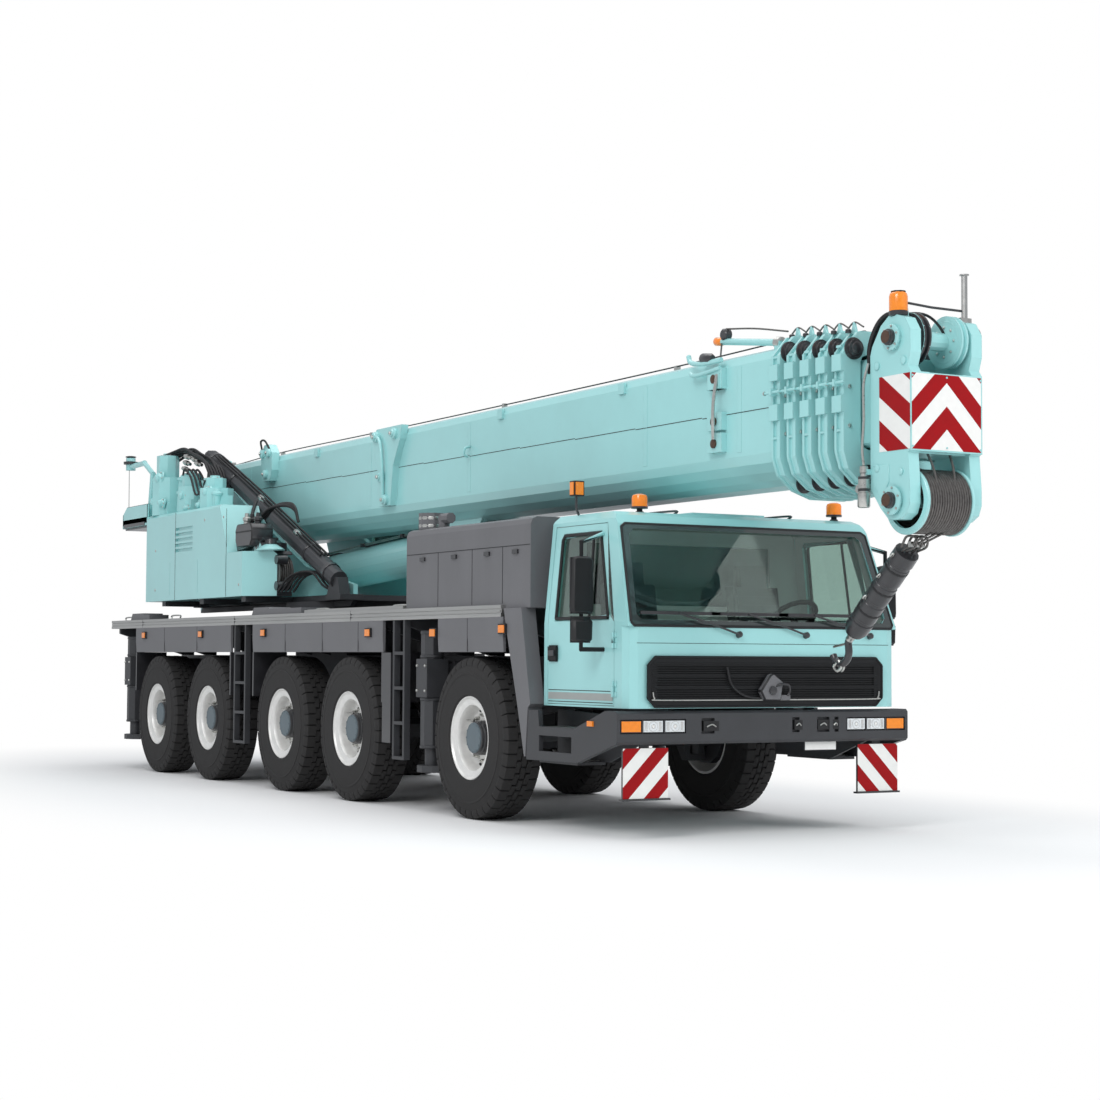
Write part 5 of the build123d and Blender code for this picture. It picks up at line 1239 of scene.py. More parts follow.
def casting_caps(maker):
    """Round bolted caps on top of the castings and on their outer sides."""
    for x, y, z in ((-5.955, -1.1, 3.782), (-5.29, -1.03, 3.52), (-4.52, -1.03, 3.413)):
        maker.turned(
            (x, y, z), UP, [(-0.02, 0.1), (0.0, 0.1), (0.012, 0.06), (0.03, 0.058), (0.034, 0.03)], "body",
            24)
        maker.nuts_round((x, y, z - 0.002), UP, 0.08, 6, 0.024, 0.016, "zinc")
    for x, y, z, r in (
            (-5.82, -1.225, 3.5, 0.085), (-5.95, -1.235, 3.22, 0.065), (-5.72, -1.225, 3.19, 0.06),
            (-5.18, -1.15, 3.25, 0.075), (-5.06, -1.14, 3.09, 0.05), (-4.4, -1.14, 3.24, 0.08),
            (-4.62, -1.14, 3.1, 0.055)):
        maker.turned(
            (x, y, z), (0, -1, 0.12), [(0, r), (0.018, r), (0.024, r * 0.72), (0.06, r * 0.68),
            (0.07, r * 0.5), (0.085, r * 0.3)], "body", 22)
        maker.nuts_round((x, y - 0.018, z), (0, -1, 0.12), r * 0.84, 6, 0.018, 0.012, "zinc")


def valves(maker):
    """Upright valves with collars, and the bright unions between them."""
    for x, y, z, r, height in (
            (-5.6, -1.02, 3.46, 0.075, 0.18), (-5.42, -1.12, 3.28, 0.05, 0.2),
            (-4.98, -0.98, 3.38, 0.06, 0.14), (-4.75, -1.1, 3.14, 0.045, 0.22),
            (-4.28, -1.1, 3.2, 0.05, 0.14)):
        maker.turned(
            (x, y, z - height), (0.15, 0, 1), [(0, r), (height, r), (height + 0.01, r * 1.3),
            (height + 0.035, r * 1.3), (height + 0.045, r * 0.8), (height + 0.07, r * 0.7)], "body", 20)
    for i, (x, z) in enumerate(((-5.62, 3.68), (-5.48, 3.74), (-5.34, 3.70), (-5.55, 3.60), (-5.22, 3.64))):
        maker.turned(
            (x, -0.98 - 0.04 * (i % 2), z), (1, 0.2, -0.25), [(-0.07, 0.022), (-0.03, 0.022), (-0.03, 0.032),
            (0.02, 0.032), (0.02, 0.022), (0.08, 0.02)], "zinc", 14)


def valve_box(maker):
    """The black box ahead of the housing with its plugs, the dome beside it and their hoses."""
    box_outline = [
        (-3.22, 2.62), (-3.16, 2.55), (-2.8, 2.55), (-2.74, 2.62), (-2.74, 2.74), (-2.78, 2.8), (-3.18, 2.8),
        (-3.22, 2.74)]
    maker.prism(box_outline, "y", -1.27, -1.02, "black", 0.012)
    maker.block((-3.20, -1.275, 2.705), (-2.76, -1.015, 2.72), "rubber", 0.003)
    for i, (x, y) in enumerate(((-3.12, -1.12), (-3.0, -1.1), (-2.88, -1.14), (-3.06, -1.2))):
        maker.turned(
            (x, y, 2.8), (0.12, 0, 1), [(0, 0.035), (0.03, 0.035), (0.04, 0.046), (0.07, 0.046),
            (0.08, 0.028), (0.12, 0.024)], "zinc" if i % 2 else "black", 16)
    maker.turned(
        (-2.66, -1.08, 2.5), UP, [(0, 0.15), (0.012, 0.155), (0.03, 0.13), (0.07, 0.06), (0.12, 0.05)],
        "body", 28)
    maker.turned((-2.66, -1.08, 2.57), UP, [(0, 0.07), (0.05, 0.062)], "black", 24)
    for spread in (0.0, 0.035, 0.07):
        maker.tube(
            [(-3.02, -1.08 + spread, 2.86), (-2.9, -1.0 + spread, 2.97 + spread * 0.4),
            (-2.66, -0.92 + spread * 0.5, 2.99 + spread * 0.4), (-2.48, -0.88, 2.93 + spread * 0.5),
            (-2.4, -0.87, 2.8)], 0.016, "rubber", 10)
    maker.tube(
        [(-3.26, -1.12, 2.66), (-3.34, -1.06, 2.8), (-3.52, -0.95, 2.98), (-3.66, -0.86, 3.1)], 0.02,
        "rubber", 10)


def swivel_hoses(maker):
    """Five hoses down to the slewing ring and the two stubs they leave from."""
    hose = sizes().hose / 2
    for i in range(5):
        y = -0.60 - 0.045 * i
        maker.tube(
            [(-2.45, y - 0.3, 2.05), (-2.35, y - 0.2, 2.22), (-2.15, y - 0.05, 2.26), (-1.9, y, 2.1),
            (-1.7, y + 0.1, 2.03)], hose * 0.7, "rubber", 8)
    for x, z in ((-2.55, 2.12), (-2.55, 2.40)):
        maker.turned((x, -1.06, z), LEFT, [(0, 0.05), (0.12, 0.05)], "black", 20)


def lamp_post_and_tray(maker):
    """The lamp on the bent post, its wire, and the walls of the tray below."""
    maker.turned(
        (-7.08, -1.2, 3.775), UP, [(-0.02, 0.03), (-0.01, 0.088), (0.022, 0.09), (0.03, 0.05),
        (0.074, 0.045), (0.078, 0.066), (0.09, 0.066), (0.096, 0.04)], "black", 24)
    maker.tube(
        [(-7.06, -1.225, 3.74), (-7.055, -1.225, 3.4), (-7.05, -1.225, 3.06)], 0.005, "zinc", 6,
        smooth=False)
    for y0, y1 in ((-1.30, -1.27), (-0.93, -0.90)):
        maker.prism(
            [(-7.05, 2.945), (-6.12, 2.945), (-6.12, 3.21), (-6.9, 3.21), (-7.05, 3.12)], "y", y0, y1,
            "body", 0.006)
    maker.block((-7.055, -1.30, 2.945), (-7.03, -0.90, 3.12), "body", 0.006)
    maker.block((-7.0, -1.306, 2.955), (-6.2, -1.298, 2.995), "black", 0.003)
    maker.block((-7.03, -1.27, 2.925), (-6.12, -0.93, 2.95), "black", 0.01)


def strut_details():
    """Bands, lines and unions on the strut beside the boom, and the nuts round its pivot."""
    strut = Maker("strut_trim", "superstructure", "green_paint", "carrier")
    top, foot = Vector((-5.45, -0.72, 3.74)), Vector((-1.65, -0.72, 2.16))
    heading = (foot - top).normalized()
    for reach, width in ((0.12, 0.05), (0.9, 0.03), (2.1, 0.03), (3.3, 0.03), (3.85, 0.06)):
        strut.turned(
            top + heading * reach, heading, [(0, 0.104), (0.004, 0.108), (width, 0.108),
            (width + 0.004, 0.104)], "black", 28)
    for shift in (-0.045, 0.0, 0.045):
        rises = ((0.3, shift - 0.02, 0.115), (1.4, shift, 0.12), (2.6, shift, 0.118), (3.7, shift, 0.116))
        line = [top + heading * reach + Vector((0, y, z)) for reach, y, z in rises]
        strut.tube(line, 0.012, "rubber", 8)
    for sign in (-1, 1):
        strut.nuts_round((-5.9, sign * 0.572, 3.25), (0, sign, 0), 0.16, 8, 0.036, 0.022, "zinc")
    for reach in (1.75, 2.9):
        spot = top + heading * reach + Vector((0, -0.03, 0.10))
        strut.turned(
            spot, heading, [(0, 0.02), (0.02, 0.034), (0.09, 0.034), (0.1, 0.024), (0.17, 0.022)], "zinc",
            16)
    strut.done()


def winch_rope():
    """Six turns of rope on the winch."""
    winch = Maker("winch_rope", "winch", "rope_steel", "rope")
    rope = sizes().rope
    for i in range(6):
        winch.turned(
            (-2.76, -0.985 + 0.0245 * i, 2.26), LEFT, [(-rope / 2, 0.172), (-rope / 4, 0.1825),
            (rope / 4, 0.1825), (rope / 2, 0.172)], "rope", 36)
    winch.done()


class CRANE_OT_upper_trim(bpy.types.Operator):
    """Pump housing seams, hoses, castings, valves, the tray, the strut and the winch rope"""
    bl_idname = "crane.upper_trim"
    bl_label = "Upper works trim"

    def execute(self, context):
        maker = Maker("housing_pipes", "superstructure", "green_paint", "rubber")
        housing_seams(maker)
        hose_bundle(maker)
        casting_caps(maker)
        valves(maker)
        valve_box(maker)
        swivel_hoses(maker)
        lamp_post_and_tray(maker)
        maker.done()
        strut_details()
        winch_rope()
        return {"FINISHED"}


class CRANE_OT_crane_cab_trim(bpy.types.Operator):
    """Panes and seals of the crane driver's cab, which slide with its door where they belong to it"""
    bl_idname = "crane.crane_cab_trim"
    bl_label = "Crane cab trim"

    def execute(self, context):
        cab = Maker("crane_cab_panes", "superstructure", "glass", "glass")
        cab.prism(
            [(-2.364, 2.49), (-2.356, 2.49), (-2.53, 3.31), (-2.538, 3.31)], "y", 0.705, 1.255, "glass", 0.0)
        cab.prism(
            [(-2.545, 2.17), (-2.537, 2.17), (-2.372, 2.47), (-2.38, 2.47)], "y", 0.705, 1.255, "glass", 0.0)
        cab.block((-4.285, 0.755, 2.505), (-4.279, 1.205, 3.195), "glass", 0.0)
        cab.block((-3.795, 0.642, 2.605), (-2.765, 0.648, 3.245), "glass", 0.0)
        cab.block((-2.40, 0.70, 2.475), (-2.372, 1.26, 2.492), "rubber", 0.003)
        cab.done()
        door = Maker("crane_cab_door_pane", "crane_cab_sliding_door", "glass", "glass")
        door.block((-3.842, 1.346, 2.618), (-3.008, 1.352, 3.282), "glass", 0.0)
        door.tube(
            [(-3.05, 1.366, 2.3), (-3.05, 1.385, 2.33), (-3.05, 1.385, 2.52), (-3.05, 1.366, 2.55)], 0.01,
            "black", 8)
        door.done()
        return {"FINISHED"}


# ---------------------------------------------------------------- boom
def boom_seams(maker):
    """Weld seams along the boom's sides, joint plates, and the cable along its top."""
    for sign in (-1, 1):
        wall = sign * 0.444
        for i in range(12):
            x, z = -6.2 + i * 0.995, SEAM_Z - 0.0080 * i
            maker.block((x, wall, z - 0.003), (x + 0.99, sign * 0.4465, z + 0.003), "rubber", 0.0)
        plate = 0.4475 if sign > 0 else -0.4465
        for x in (-4.9, -1.5, 0.75, 3.9, 5.25):
            maker.block((x - 0.03, wall, 2.93), (x + 0.03, plate, 3.59), "body", 0.0)
    maker.tube(
        [(-6.15, -0.18, 3.73), (-4.5, -0.2, 3.76), (-2.0, -0.2, 3.752), (1.0, -0.2, 3.75),
        (4.0, -0.2, 3.758), (5.7, -0.2, 3.78)], 0.006, "rubber", 6)
    for x in (-6.1, -4.5, -2.0, 1.0, 4.0):
        maker.block((x - 0.02, -0.22, 3.688), (x + 0.02, -0.18, 3.762), "zinc", 0.003)


def side_brackets(maker):
    """The pipe, rollers and bow on the boom's right side."""
    side = BOOM_SIDE
    maker.tube(
        [(-1.25, side - 0.085, 3.66), (-1.06, side - 0.1, 3.56), (-1.0, side - 0.1, 3.3),
        (-1.0, side - 0.09, 2.98)], 0.018, "body", 10)
    for x, z in ((-1.18, 3.62), (-0.75, 3.62), (-1.06, 3.2), (-0.95, 2.96)):
        maker.turned(
            (x, side - 0.02, z), RIGHT, [(0, 0.055), (0.08, 0.055), (0.09, 0.04), (0.105, 0.038)], "body",
            20)
        maker.nut((x, side - 0.12, z), RIGHT, 0.04, 0.02, "zinc")
    for x, z in ((-4.28, 3.70), (-4.10, 3.70), (-4.19, 3.46)):
        maker.turned((x, side - 0.06, z), RIGHT, [(0, 0.05), (0.06, 0.05), (0.07, 0.03)], "body", 18)
        maker.nut((x, side - 0.125, z), RIGHT, 0.034, 0.02, "zinc")
    maker.tube(
        [(-4.3, side - 0.1, 3.75), (-4.26, side - 0.13, 3.84), (-4.14, side - 0.13, 3.84),
        (-4.08, side - 0.1, 3.75)], 0.012, "rubber", 8)


def front_bracket(maker):
    """The bracket near the boom's front end with its bows, roller, rod and pins."""
    side = BOOM_SIDE
    x = 4.98
    for z0, z1 in ((2.95, 3.10), (3.12, 3.26), (3.44, 3.60)):
        maker.block((x - 0.10, side - 0.05, z0), (x + 0.10, side + 0.002, z1), "body", 0.012)
    maker.tube(
        [(x - 0.36, side - 0.05, 3.74), (x - 0.31, side - 0.06, 3.685), (x - 0.14, side - 0.07, 3.655),
        (x + 0.1, side - 0.05, 3.66)], 0.02, "body", 10)
    maker.tube(
        [(x - 0.33, side - 0.05, 3.6), (x - 0.24, side - 0.06, 3.575), (x + 0.08, side - 0.05, 3.6)], 0.018,
        "body", 10)
    maker.turned(
        (x - 0.17, side - 0.055, 3.7), (1, 0, -0.1), [(0, 0.024), (0.03, 0.042), (0.13, 0.04),
        (0.16, 0.026)], "black", 20)
    maker.tube(
        [(x + 0.05, side - 0.06, 3.55), (x + 0.06, side - 0.1, 3.3), (x + 0.03, side - 0.08, 3.05)], 0.014,
        "zinc", 8)
    # Pin ends in the pin finish: brass-coloured, painted brown with shade.
    for z in (3.02, 3.19, 3.52):
        maker.turned((x, side - 0.045, z), RIGHT, [(0, 0.035), (0.02, 0.035), (0.026, 0.02)], "pin", 16)
    maker.tube(
        [(0.78, side - 0.01, 3.36), (0.78, side - 0.06, 3.34), (0.78, side - 0.07, 3.28),
        (0.78, side - 0.03, 3.26)], 0.012, "body", 8)


def cable_arm(maker):
    """The arm over the collars with its rollers, lamp and cables."""
    maker.tube([(4.87, -0.35, 3.838), (5.66, -0.35, 3.730)], 0.027, "body", 12, smooth=False)
    maker.turned(
        (5.6, -0.35, 3.738), (1, 0, -0.14), [(0, 0.034), (0.01, 0.044), (0.07, 0.044), (0.08, 0.03)], "zinc",
        18)
    maker.turned(
        (4.93, -0.385, 3.885), LEFT, [(0, 0.034), (0.01, 0.046), (0.06, 0.046), (0.07, 0.034)], "black", 20)
    maker.turned(
        (4.89, -0.35, 3.835), (-1, 0, 0.14), [(0, 0.024), (0.02, 0.034), (0.09, 0.034), (0.11, 0.018)],
        "amber", 18)
    maker.tube([(4.93, -0.35, 3.93), (5.30, -0.33, 3.885), (5.68, -0.30, 3.815)], 0.007, "rope", 8)
    maker.tube([(4.90, -0.37, 3.82), (4.91, -0.40, 3.60)], 0.007, "rope", 8, smooth=False)
    maker.block((5.62, -0.385, 3.66), (5.68, -0.315, 3.74), "body", 0.006)


class CRANE_OT_boom_trim(bpy.types.Operator):
    """Weld seams, top cable, brackets, bows, rollers and the cable arm on the boom's base section"""
    bl_idname = "crane.boom_trim"
    bl_label = "Boom trim"

    def execute(self, context):
        maker = Maker("boom_trim", "boom", "green_paint", "body")
        boom_seams(maker)
        side_brackets(maker)
        front_bracket(maker)
        cable_arm(maker)
        maker.done()
        return {"FINISHED"}


def collar_details(number, body):
    """One collar's end rollers, ribs, guide rods, studs and cable clips."""
    front = COLLAR_FRONT + COLLAR_PITCH * number
    step = TUBE_STEP * number
    half = 0.060 - BOOM_SIDE - step
    top = BOOM_TOP + 0.060 - step * 0.8
    maker = Maker(f"collar_trim_{number}", body, "green_paint", "body")
    rear = front - 0.110
    mid = (front + rear) / 2
    for sign in (-1, 1):
        upper = (front + 0.012, sign * (half - 0.085), top - 0.125)
        lower = (front + 0.012, sign * (half - 0.215), 2.655 + number * 0.006)
        for spot, radius in ((upper, 0.062), (lower, 0.052)):
            maker.turned(
                spot, AHEAD, [(-0.012, radius + 0.018), (0.0, radius + 0.018), (0.004, radius),
                (0.03, radius), (0.034, radius * 0.7), (0.04, radius * 0.66), (0.046, radius * 0.4)],
                "black", 26)
        for k in range(3):
            z = 2.98 if k < 1 else 3.30 + (k - 1) * 0.28
            maker.block(
                (rear + 0.02, sign * (half - 0.016), z), (front - 0.03, sign * (half - 0.002), z + 0.018),
                "body", 0.003)
        rod_z = SEAM_Z
        maker.block(
            (mid - 0.012, sign * (half - 0.006), rod_z - 0.026), (mid + 0.012, sign * (half + 0.052),
            rod_z + 0.026), "body", 0.005)
        maker.tube(
            [(rear - 0.03, sign * (half + 0.034), rod_z), (front + 0.05, sign * (half + 0.034), rod_z)],
            0.011, "body", 10, smooth=False)
        maker.nut((rear - 0.03, sign * (half + 0.034), rod_z), BACK, 0.034, 0.014, "zinc")
        maker.nut((front, sign * (half - 0.05), 3.30), AHEAD, 0.030, 0.014, "zinc")
        maker.nut((front, sign * (half - 0.05), 3.02), AHEAD, 0.030, 0.014, "zinc")
    for y in (-0.34, -0.20, 0.20, 0.34):
        maker.turned(
            (mid - 0.02, y, top - 0.004), UP, [(0, 0.022), (0.024, 0.022), (0.03, 0.012)], "black", 14)
    cable = [(rear - 0.03, -0.30, top + 0.03), (mid, -0.30, top + 0.075), (front + 0.05, -0.30, top + 0.028)]
    maker.tube(cable, 0.0065, "rope", 8)
    for y in (-0.30, 0.30):
        maker.prism(
            [(mid - 0.035, top - 0.01), (mid + 0.035, top - 0.01), (mid + 0.008, top + 0.075),
            (mid - 0.008, top + 0.075)], "y", y - 0.01, y + 0.01, "body", 0.003)
    maker.done()


class CRANE_OT_collar_trim(bpy.types.Operator):
    """End rollers, ribs, guide rods, studs and cable clips on each section's collar"""
    bl_idname = "crane.collar_trim"
    bl_label = "Collar trim"

    def execute(self, context):
        bodies = ("boom", "telescope_1", "telescope_2", "telescope_3", "telescope_4")
        for number, body in enumerate(bodies):
            collar_details(number, body)
        return {"FINISHED"}


def head_stripes():
    """Red and white stripes on the front and both sides of the boom head."""
    pitch = sizes().stripe_pitch
    front, half = 7.13, 0.32
    stripes = Maker("head_stripes", "telescope_5", "green_paint", "red")
    height = 0.526
    wide = half - 0.012
    period = 2 * pitch * 1.62

    def chevron(a, b):
        """Stripes that fall to both sides of the middle."""
        return (b + abs(a - wide) - 0.147 + 10 * period) / period * 2 * pitch

    def slant(from_rear, b):
        """Stripes that fall towards the front edge."""
        return (b + 0.71 * from_rear - 0.063 + 10 * period) / period * 2 * pitch

    panel = 0.335
    striped(stripes, (front + 0.0003, -wide, STRIPE_FOOT), LEFT, UP, 2 * wide, height, pitch, chevron, 0.002)
    striped(
        stripes, (front - 0.003 - panel, -half - 0.0003, STRIPE_FOOT), AHEAD, UP, panel, height, pitch,
        slant, 0.002)
    striped(
        stripes, (front - 0.003, half + 0.0003, STRIPE_FOOT), BACK, UP, panel, height, pitch, lambda a,
        b: slant(panel - a, b), 0.002)
    for y in (-half + 0.006, 0.0, half - 0.006):
        for z in (2.83, 3.32):
            stripes.turned((front + 0.002, y * 0.96, z), AHEAD, [(0, 0.008), (0.004, 0.007)], "body", 10)
    stripes.done()


def head_pins(maker):
    """Bosses, pins and studs on both cheeks of the head."""
    for sign in (-1, 1):
        for x, z, r in ((HEAD_X, HIGH_AXLE_Z, 0.062), (HEAD_X, LOW_AXLE_Z, 0.072)):
            maker.turned(
                (x, sign * 0.337, z), (0, sign, 0), [(0, r + 0.03), (0.012, r + 0.03), (0.016, r + 0.02)],
                "body", 28)
            maker.turned(
                (x, sign * 0.345, z), (0, sign, 0), [(0, 0.058), (0.03, 0.058), (0.034, 0.0485),
                (0.046, 0.0485), (0.048, 0.0455)], "black", 24, caps=False)
            maker.nuts_round((x, sign * 0.352, z), (0, sign, 0), r + 0.016, 6, 0.018, 0.010, "zinc", 0.3)
        for x, z, r in ((6.77, 3.42, 0.028), (7.06, 3.43, 0.030), (6.77, 2.70, 0.028), (7.03, 2.66, 0.024)):
            maker.turned(
                (x, sign * 0.318, z), (0, sign, 0), [(0, r), (0.012, r), (0.018, r * 0.7)], "body", 18)
        maker.prism(
            [(6.72, 2.6), (6.82, 2.47), (6.9, 2.6), (6.9, 2.72), (6.72, 2.72)], "y", sign * 0.315,
            sign * 0.326, "body", 0.004)


def head_lamps(maker):
    """The beacon and the pole with its lamp, and the bar between them."""
    maker.turned(
        (6.945, -0.272, 3.752), UP, [(0, 0.05), (0.006, 0.066), (0.035, 0.068), (0.04, 0.062)], "black", 28)
    maker.turned(
        (6.945, -0.272, 3.79), UP, [(0, 0.0655), (0.1, 0.0655), (0.122, 0.06), (0.136, 0.045),
        (0.1425, 0.02)], "amber", 32)
    maker.turned(
        (7.0, 0.275, 3.76), UP, [(0, 0.0215), (0.32, 0.0215), (0.322, 0.034), (0.33, 0.034)], "aluminium",
        20)
    maker.block((6.97, 0.215, 3.70), (7.03, 0.315, 3.775), "zinc", 0.008)
    maker.tube(
        [(6.965, -0.225, 3.852), (6.975, 0.0, 3.835), (6.995, 0.262, 3.828)], 0.009, "carrier", 8,
        smooth=False)
    maker.prism(
        [(6.9, 3.745), (6.99, 3.745), (6.965, 3.865), (6.945, 3.865)], "y", -0.222, -0.208, "body", 0.004)


def head_lines(maker):
    """Hoses, the rope's end fitting with its rod, and the loose ends of rope."""
    maker.tube(
        [(6.82, 0.3, 3.62), (6.84, 0.36, 3.7), (HEAD_X, 0.375, 3.735), (7.05, 0.365, 3.66),
        (7.06, 0.335, 3.52)], 0.015, "rubber", 10)
    for k in range(3):
        maker.tube(
            [(6.66, -0.3 + 0.03 * k, 3.38), (6.67, -0.31 + 0.03 * k, 3.56), (6.73, -0.3 + 0.03 * k, 3.7),
            (6.82, -0.285 + 0.03 * k, 3.775), (6.93, -0.25 + 0.03 * k, 3.79)], 0.017, "rubber", 10)
    maker.tube(
        [(6.7, -0.2, 3.7), (6.78, -0.1, 3.8), (6.9, 0.02, 3.79), (6.96, 0.12, 3.66), (HEAD_X, 0.14, 3.5)],
        0.01, "rubber", 8)
    maker.turned(
        (6.665, -0.36, 2.43), UP, [(0, 0.038), (0.01, 0.045), (0.1, 0.045), (0.105, 0.034), (0.13, 0.034),
        (0.135, 0.041), (0.2, 0.041), (0.205, 0.026), (0.24, 0.024), (0.245, 0.03), (0.29, 0.03),
        (0.3, 0.014)], "zinc", 24)
    for z in (2.545, 2.63):
        maker.turned((6.665, -0.36, z), UP, [(0, 0.0425), (0.018, 0.0425)], "black", 24)
    maker.tube(
        [(6.665, -0.36, 2.72), (6.66, -0.37, 2.85), (6.672, -0.365, 3.05), (6.665, -0.36, 3.3),
        (6.68, -0.33, 3.45)], 0.01, "zinc", 8)
    maker.turned(
        (6.62, -0.3, 2.56), (0, -1, 0.1), [(0, 0.05), (0.03, 0.052), (0.04, 0.036), (0.075, 0.034)], "zinc",
        20)
    maker.block((6.64, -0.36, 2.66), (6.70, -0.30, 2.70), "body", 0.006)
    for y in (-0.11, 0.09):
        maker.tube([(7.05, y, 2.80), (7.10, y * 0.9, 2.70), (7.13, y * 0.8, 2.58)], 0.009, "rope", 8)
    maker.turned((HEAD_X, -0.13, HIGH_AXLE_Z), LEFT, [(0, 0.056), (0.26, 0.056)], "black", 24)


def lower_sheaves():
    """Rope turns and flanges of the lower sheaves, which stand for their node."""
    drum = Maker("sheave_ropes", "lower_sheaves", "rope_steel", "rope")
    rope = sizes().rope
    wraps, reach, outside = 17, 0.175, 0.2285
    arc = [(rope / 2 * math.sin(a), rope / 2 * math.cos(a)) for a in (-1.57, -0.78, 0.0, 0.78, 1.57)]
    for i in range(wraps):
        y = -reach + i * (2 * reach / (wraps - 1))
        ring = [(-along, outside - rope / 2 + out) for along, out in arc]
        drum.turned((HEAD_X, y, LOW_AXLE_Z), LEFT, ring, "rope", 40, caps=False)
    drum.turned((HEAD_X, 0, LOW_AXLE_Z), LEFT, [(-0.19, 0.216), (0.19, 0.216)], "rope", 40, caps=False)
    for sign in (-1, 1):
        drum.turned(
            (HEAD_X, sign * 0.1865, LOW_AXLE_Z), (0, sign, 0), [(0, 0.19), (0, 0.231), (0.006, 0.235),
            (0.022, 0.235), (0.028, 0.229), (0.028, 0.19)], "body", 48, caps=False)
    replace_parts(drum.done(), "head_sheaves")


def upper_sheaves():
    """Rims, hubs and nuts of the two sheaves on top of the head."""
    tops = Maker("top_sheave_trim", "upper_sheaves", "green_paint", "body")
    for y, key in ((-0.165, "black"), (0.165, "body")):
        tops.turned(
            (HEAD_X, y, HIGH_AXLE_Z), LEFT, [(-0.034, 0.15), (-0.034, 0.178), (-0.03, 0.187),
            (-0.016, 0.187), (-0.008, 0.166), (0.008, 0.166), (0.016, 0.187), (0.03, 0.187), (0.034, 0.178),
            (0.034, 0.15)], key, 40, caps=False)
        for sign in (-1, 1):
            tops.turned(
                (HEAD_X, y + sign * 0.032, HIGH_AXLE_Z), (0, sign, 0), [(0, 0.152), (0.003, 0.15),
                (0.003, 0.09), (0.01, 0.075), (0.012, 0.055)], "body", 36)
            tops.nuts_round(
                (HEAD_X, y + sign * 0.033, HIGH_AXLE_Z), (0, sign, 0), 0.105, 8, 0.02, 0.01, "zinc")
    tops.done()


class CRANE_OT_head_trim(bpy.types.Operator):
    """Warning stripes, pins, beacon, pole cap, couplings, cables and sheaves on the boom head"""
    bl_idname = "crane.head_trim"
    bl_label = "Boom head trim"

    def execute(self, context):
        head_stripes()
        maker = Maker("head_trim", "telescope_5", "green_paint", "body")
        head_pins(maker)
        head_lamps(maker)
        head_lines(maker)
        maker.done()
        lower_sheaves()
        upper_sheaves()
        return {"FINISHED"}


def hook_weight(maker, top, foot):
    """The ribbed weight over the hook, its bands and lashing rings."""
    heading = (foot - top).normalized()
    length = (foot - top).length
    body = [(0.0, 0.05), (0.004, 0.092), (0.10, 0.094), (0.106, 0.086), (0.13, 0.086)]
    for reach in (0.13, 0.32, 0.51):
        body += [(reach, 0.086), (reach + 0.005, 0.0915), (reach + 0.16, 0.0915), (reach + 0.165, 0.086)]
    body += [(0.70, 0.086), (0.705, 0.094), (length - 0.05, 0.092), (length, 0.070), (length + 0.004, 0.04)]
    maker.turned(top, heading, body, "black", 14)
    for reach in (0.15, 0.36, 0.58):
        spot = top + heading * reach
        maker.turned(
            spot, heading, [(0, 0.086), (0.004, 0.0935), (0.02, 0.0935), (0.024, 0.086)], "rubber", 30,
            caps=False)
        side = spot + Vector((0.05, -0.085, 0.06))
        ring = ((0, 0, 0), (0.012, -0.03, 0.01), (0.03, -0.01, 0.03), (0, 0, 0))
        maker.tube([side + Vector(p) for p in ring], 0.006, "zinc", 8)


def hook_itself(maker, top, foot):
    """The shank, the bent hook with its latch, and the shackle in it."""
    heading = (foot - top).normalized()
    maker.turned(foot, heading, [(0, 0.038), (0.04, 0.036), (0.05, 0.030), (0.075, 0.030)], "zinc", 20)
    shank = foot + heading * 0.07
    centre = shank + Vector((-0.105, 0, -0.085))
    bend = [shank, shank + Vector((-0.015, 0, -0.028))]
    for degrees in range(15, -176, -25):
        angle = math.radians(degrees)
        bend.append(centre + Vector((math.cos(angle), 0, math.sin(angle))) * 0.098)
    maker.tube(bend, 0.028, "black", 14)
    maker.tube(
        [shank + Vector((-0.02, 0, -0.03)), centre + Vector((-0.085, 0, 0.03))], 0.009, "zinc", 8,
        smooth=False)
    for y in (-0.02, 0.02):
        bow = (
            (-0.02, y, -0.09), (-0.05, y * 1.4, -0.12), (-0.02, y, -0.15), (0.02, y * 0.6, -0.12),
            (0, y, -0.07))
        maker.tube([centre + Vector(p) for p in bow], 0.010, "zinc", 8)


def hook_ropes(maker, top):
    """Three falls of rope with their loops and clips."""
    for y in (-0.05, 0.0, 0.05):
        fall = [top + Vector(p) for p in ((0, y, 0), (0.10, y * 0.9, 0.045), (0.22, y, 0.085))]
        maker.tube(fall + [Vector((7.02, y, 2.243))], 0.0085, "rope", 8)
        loop = (
            (0.02, y - 0.02, 0.03), (0.09, y - 0.03, 0.1), (0.15, y, 0.09), (0.11, y + 0.03, 0.03),
            (0.02, y + 0.02, 0))
        maker.tube([top + Vector(p) for p in loop], 0.009, "rope", 8)
        maker.block(
            top + Vector((0.085, y - 0.014, 0.025)), top + Vector((0.115, y + 0.014, 0.065)), "zinc", 0.004)


class CRANE_OT_hook_trim(bpy.types.Operator):
    """Hook weight's ribs, rope loops with clips, shackle, hook and lashing rings"""
    bl_idname = "crane.hook_trim"
    bl_label = "Hook trim"

    def execute(self, context):
        maker = Maker("hook_trim", "hook", "hook_black", "black")
        top, foot = Vector((6.70, 0, 2.13)), Vector((6.08, 0, 1.56))
        hook_weight(maker, top, foot)
        hook_itself(maker, top, foot)
        hook_ropes(maker, top)
        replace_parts(maker.done(), "hook_block")
        return {"FINISHED"}


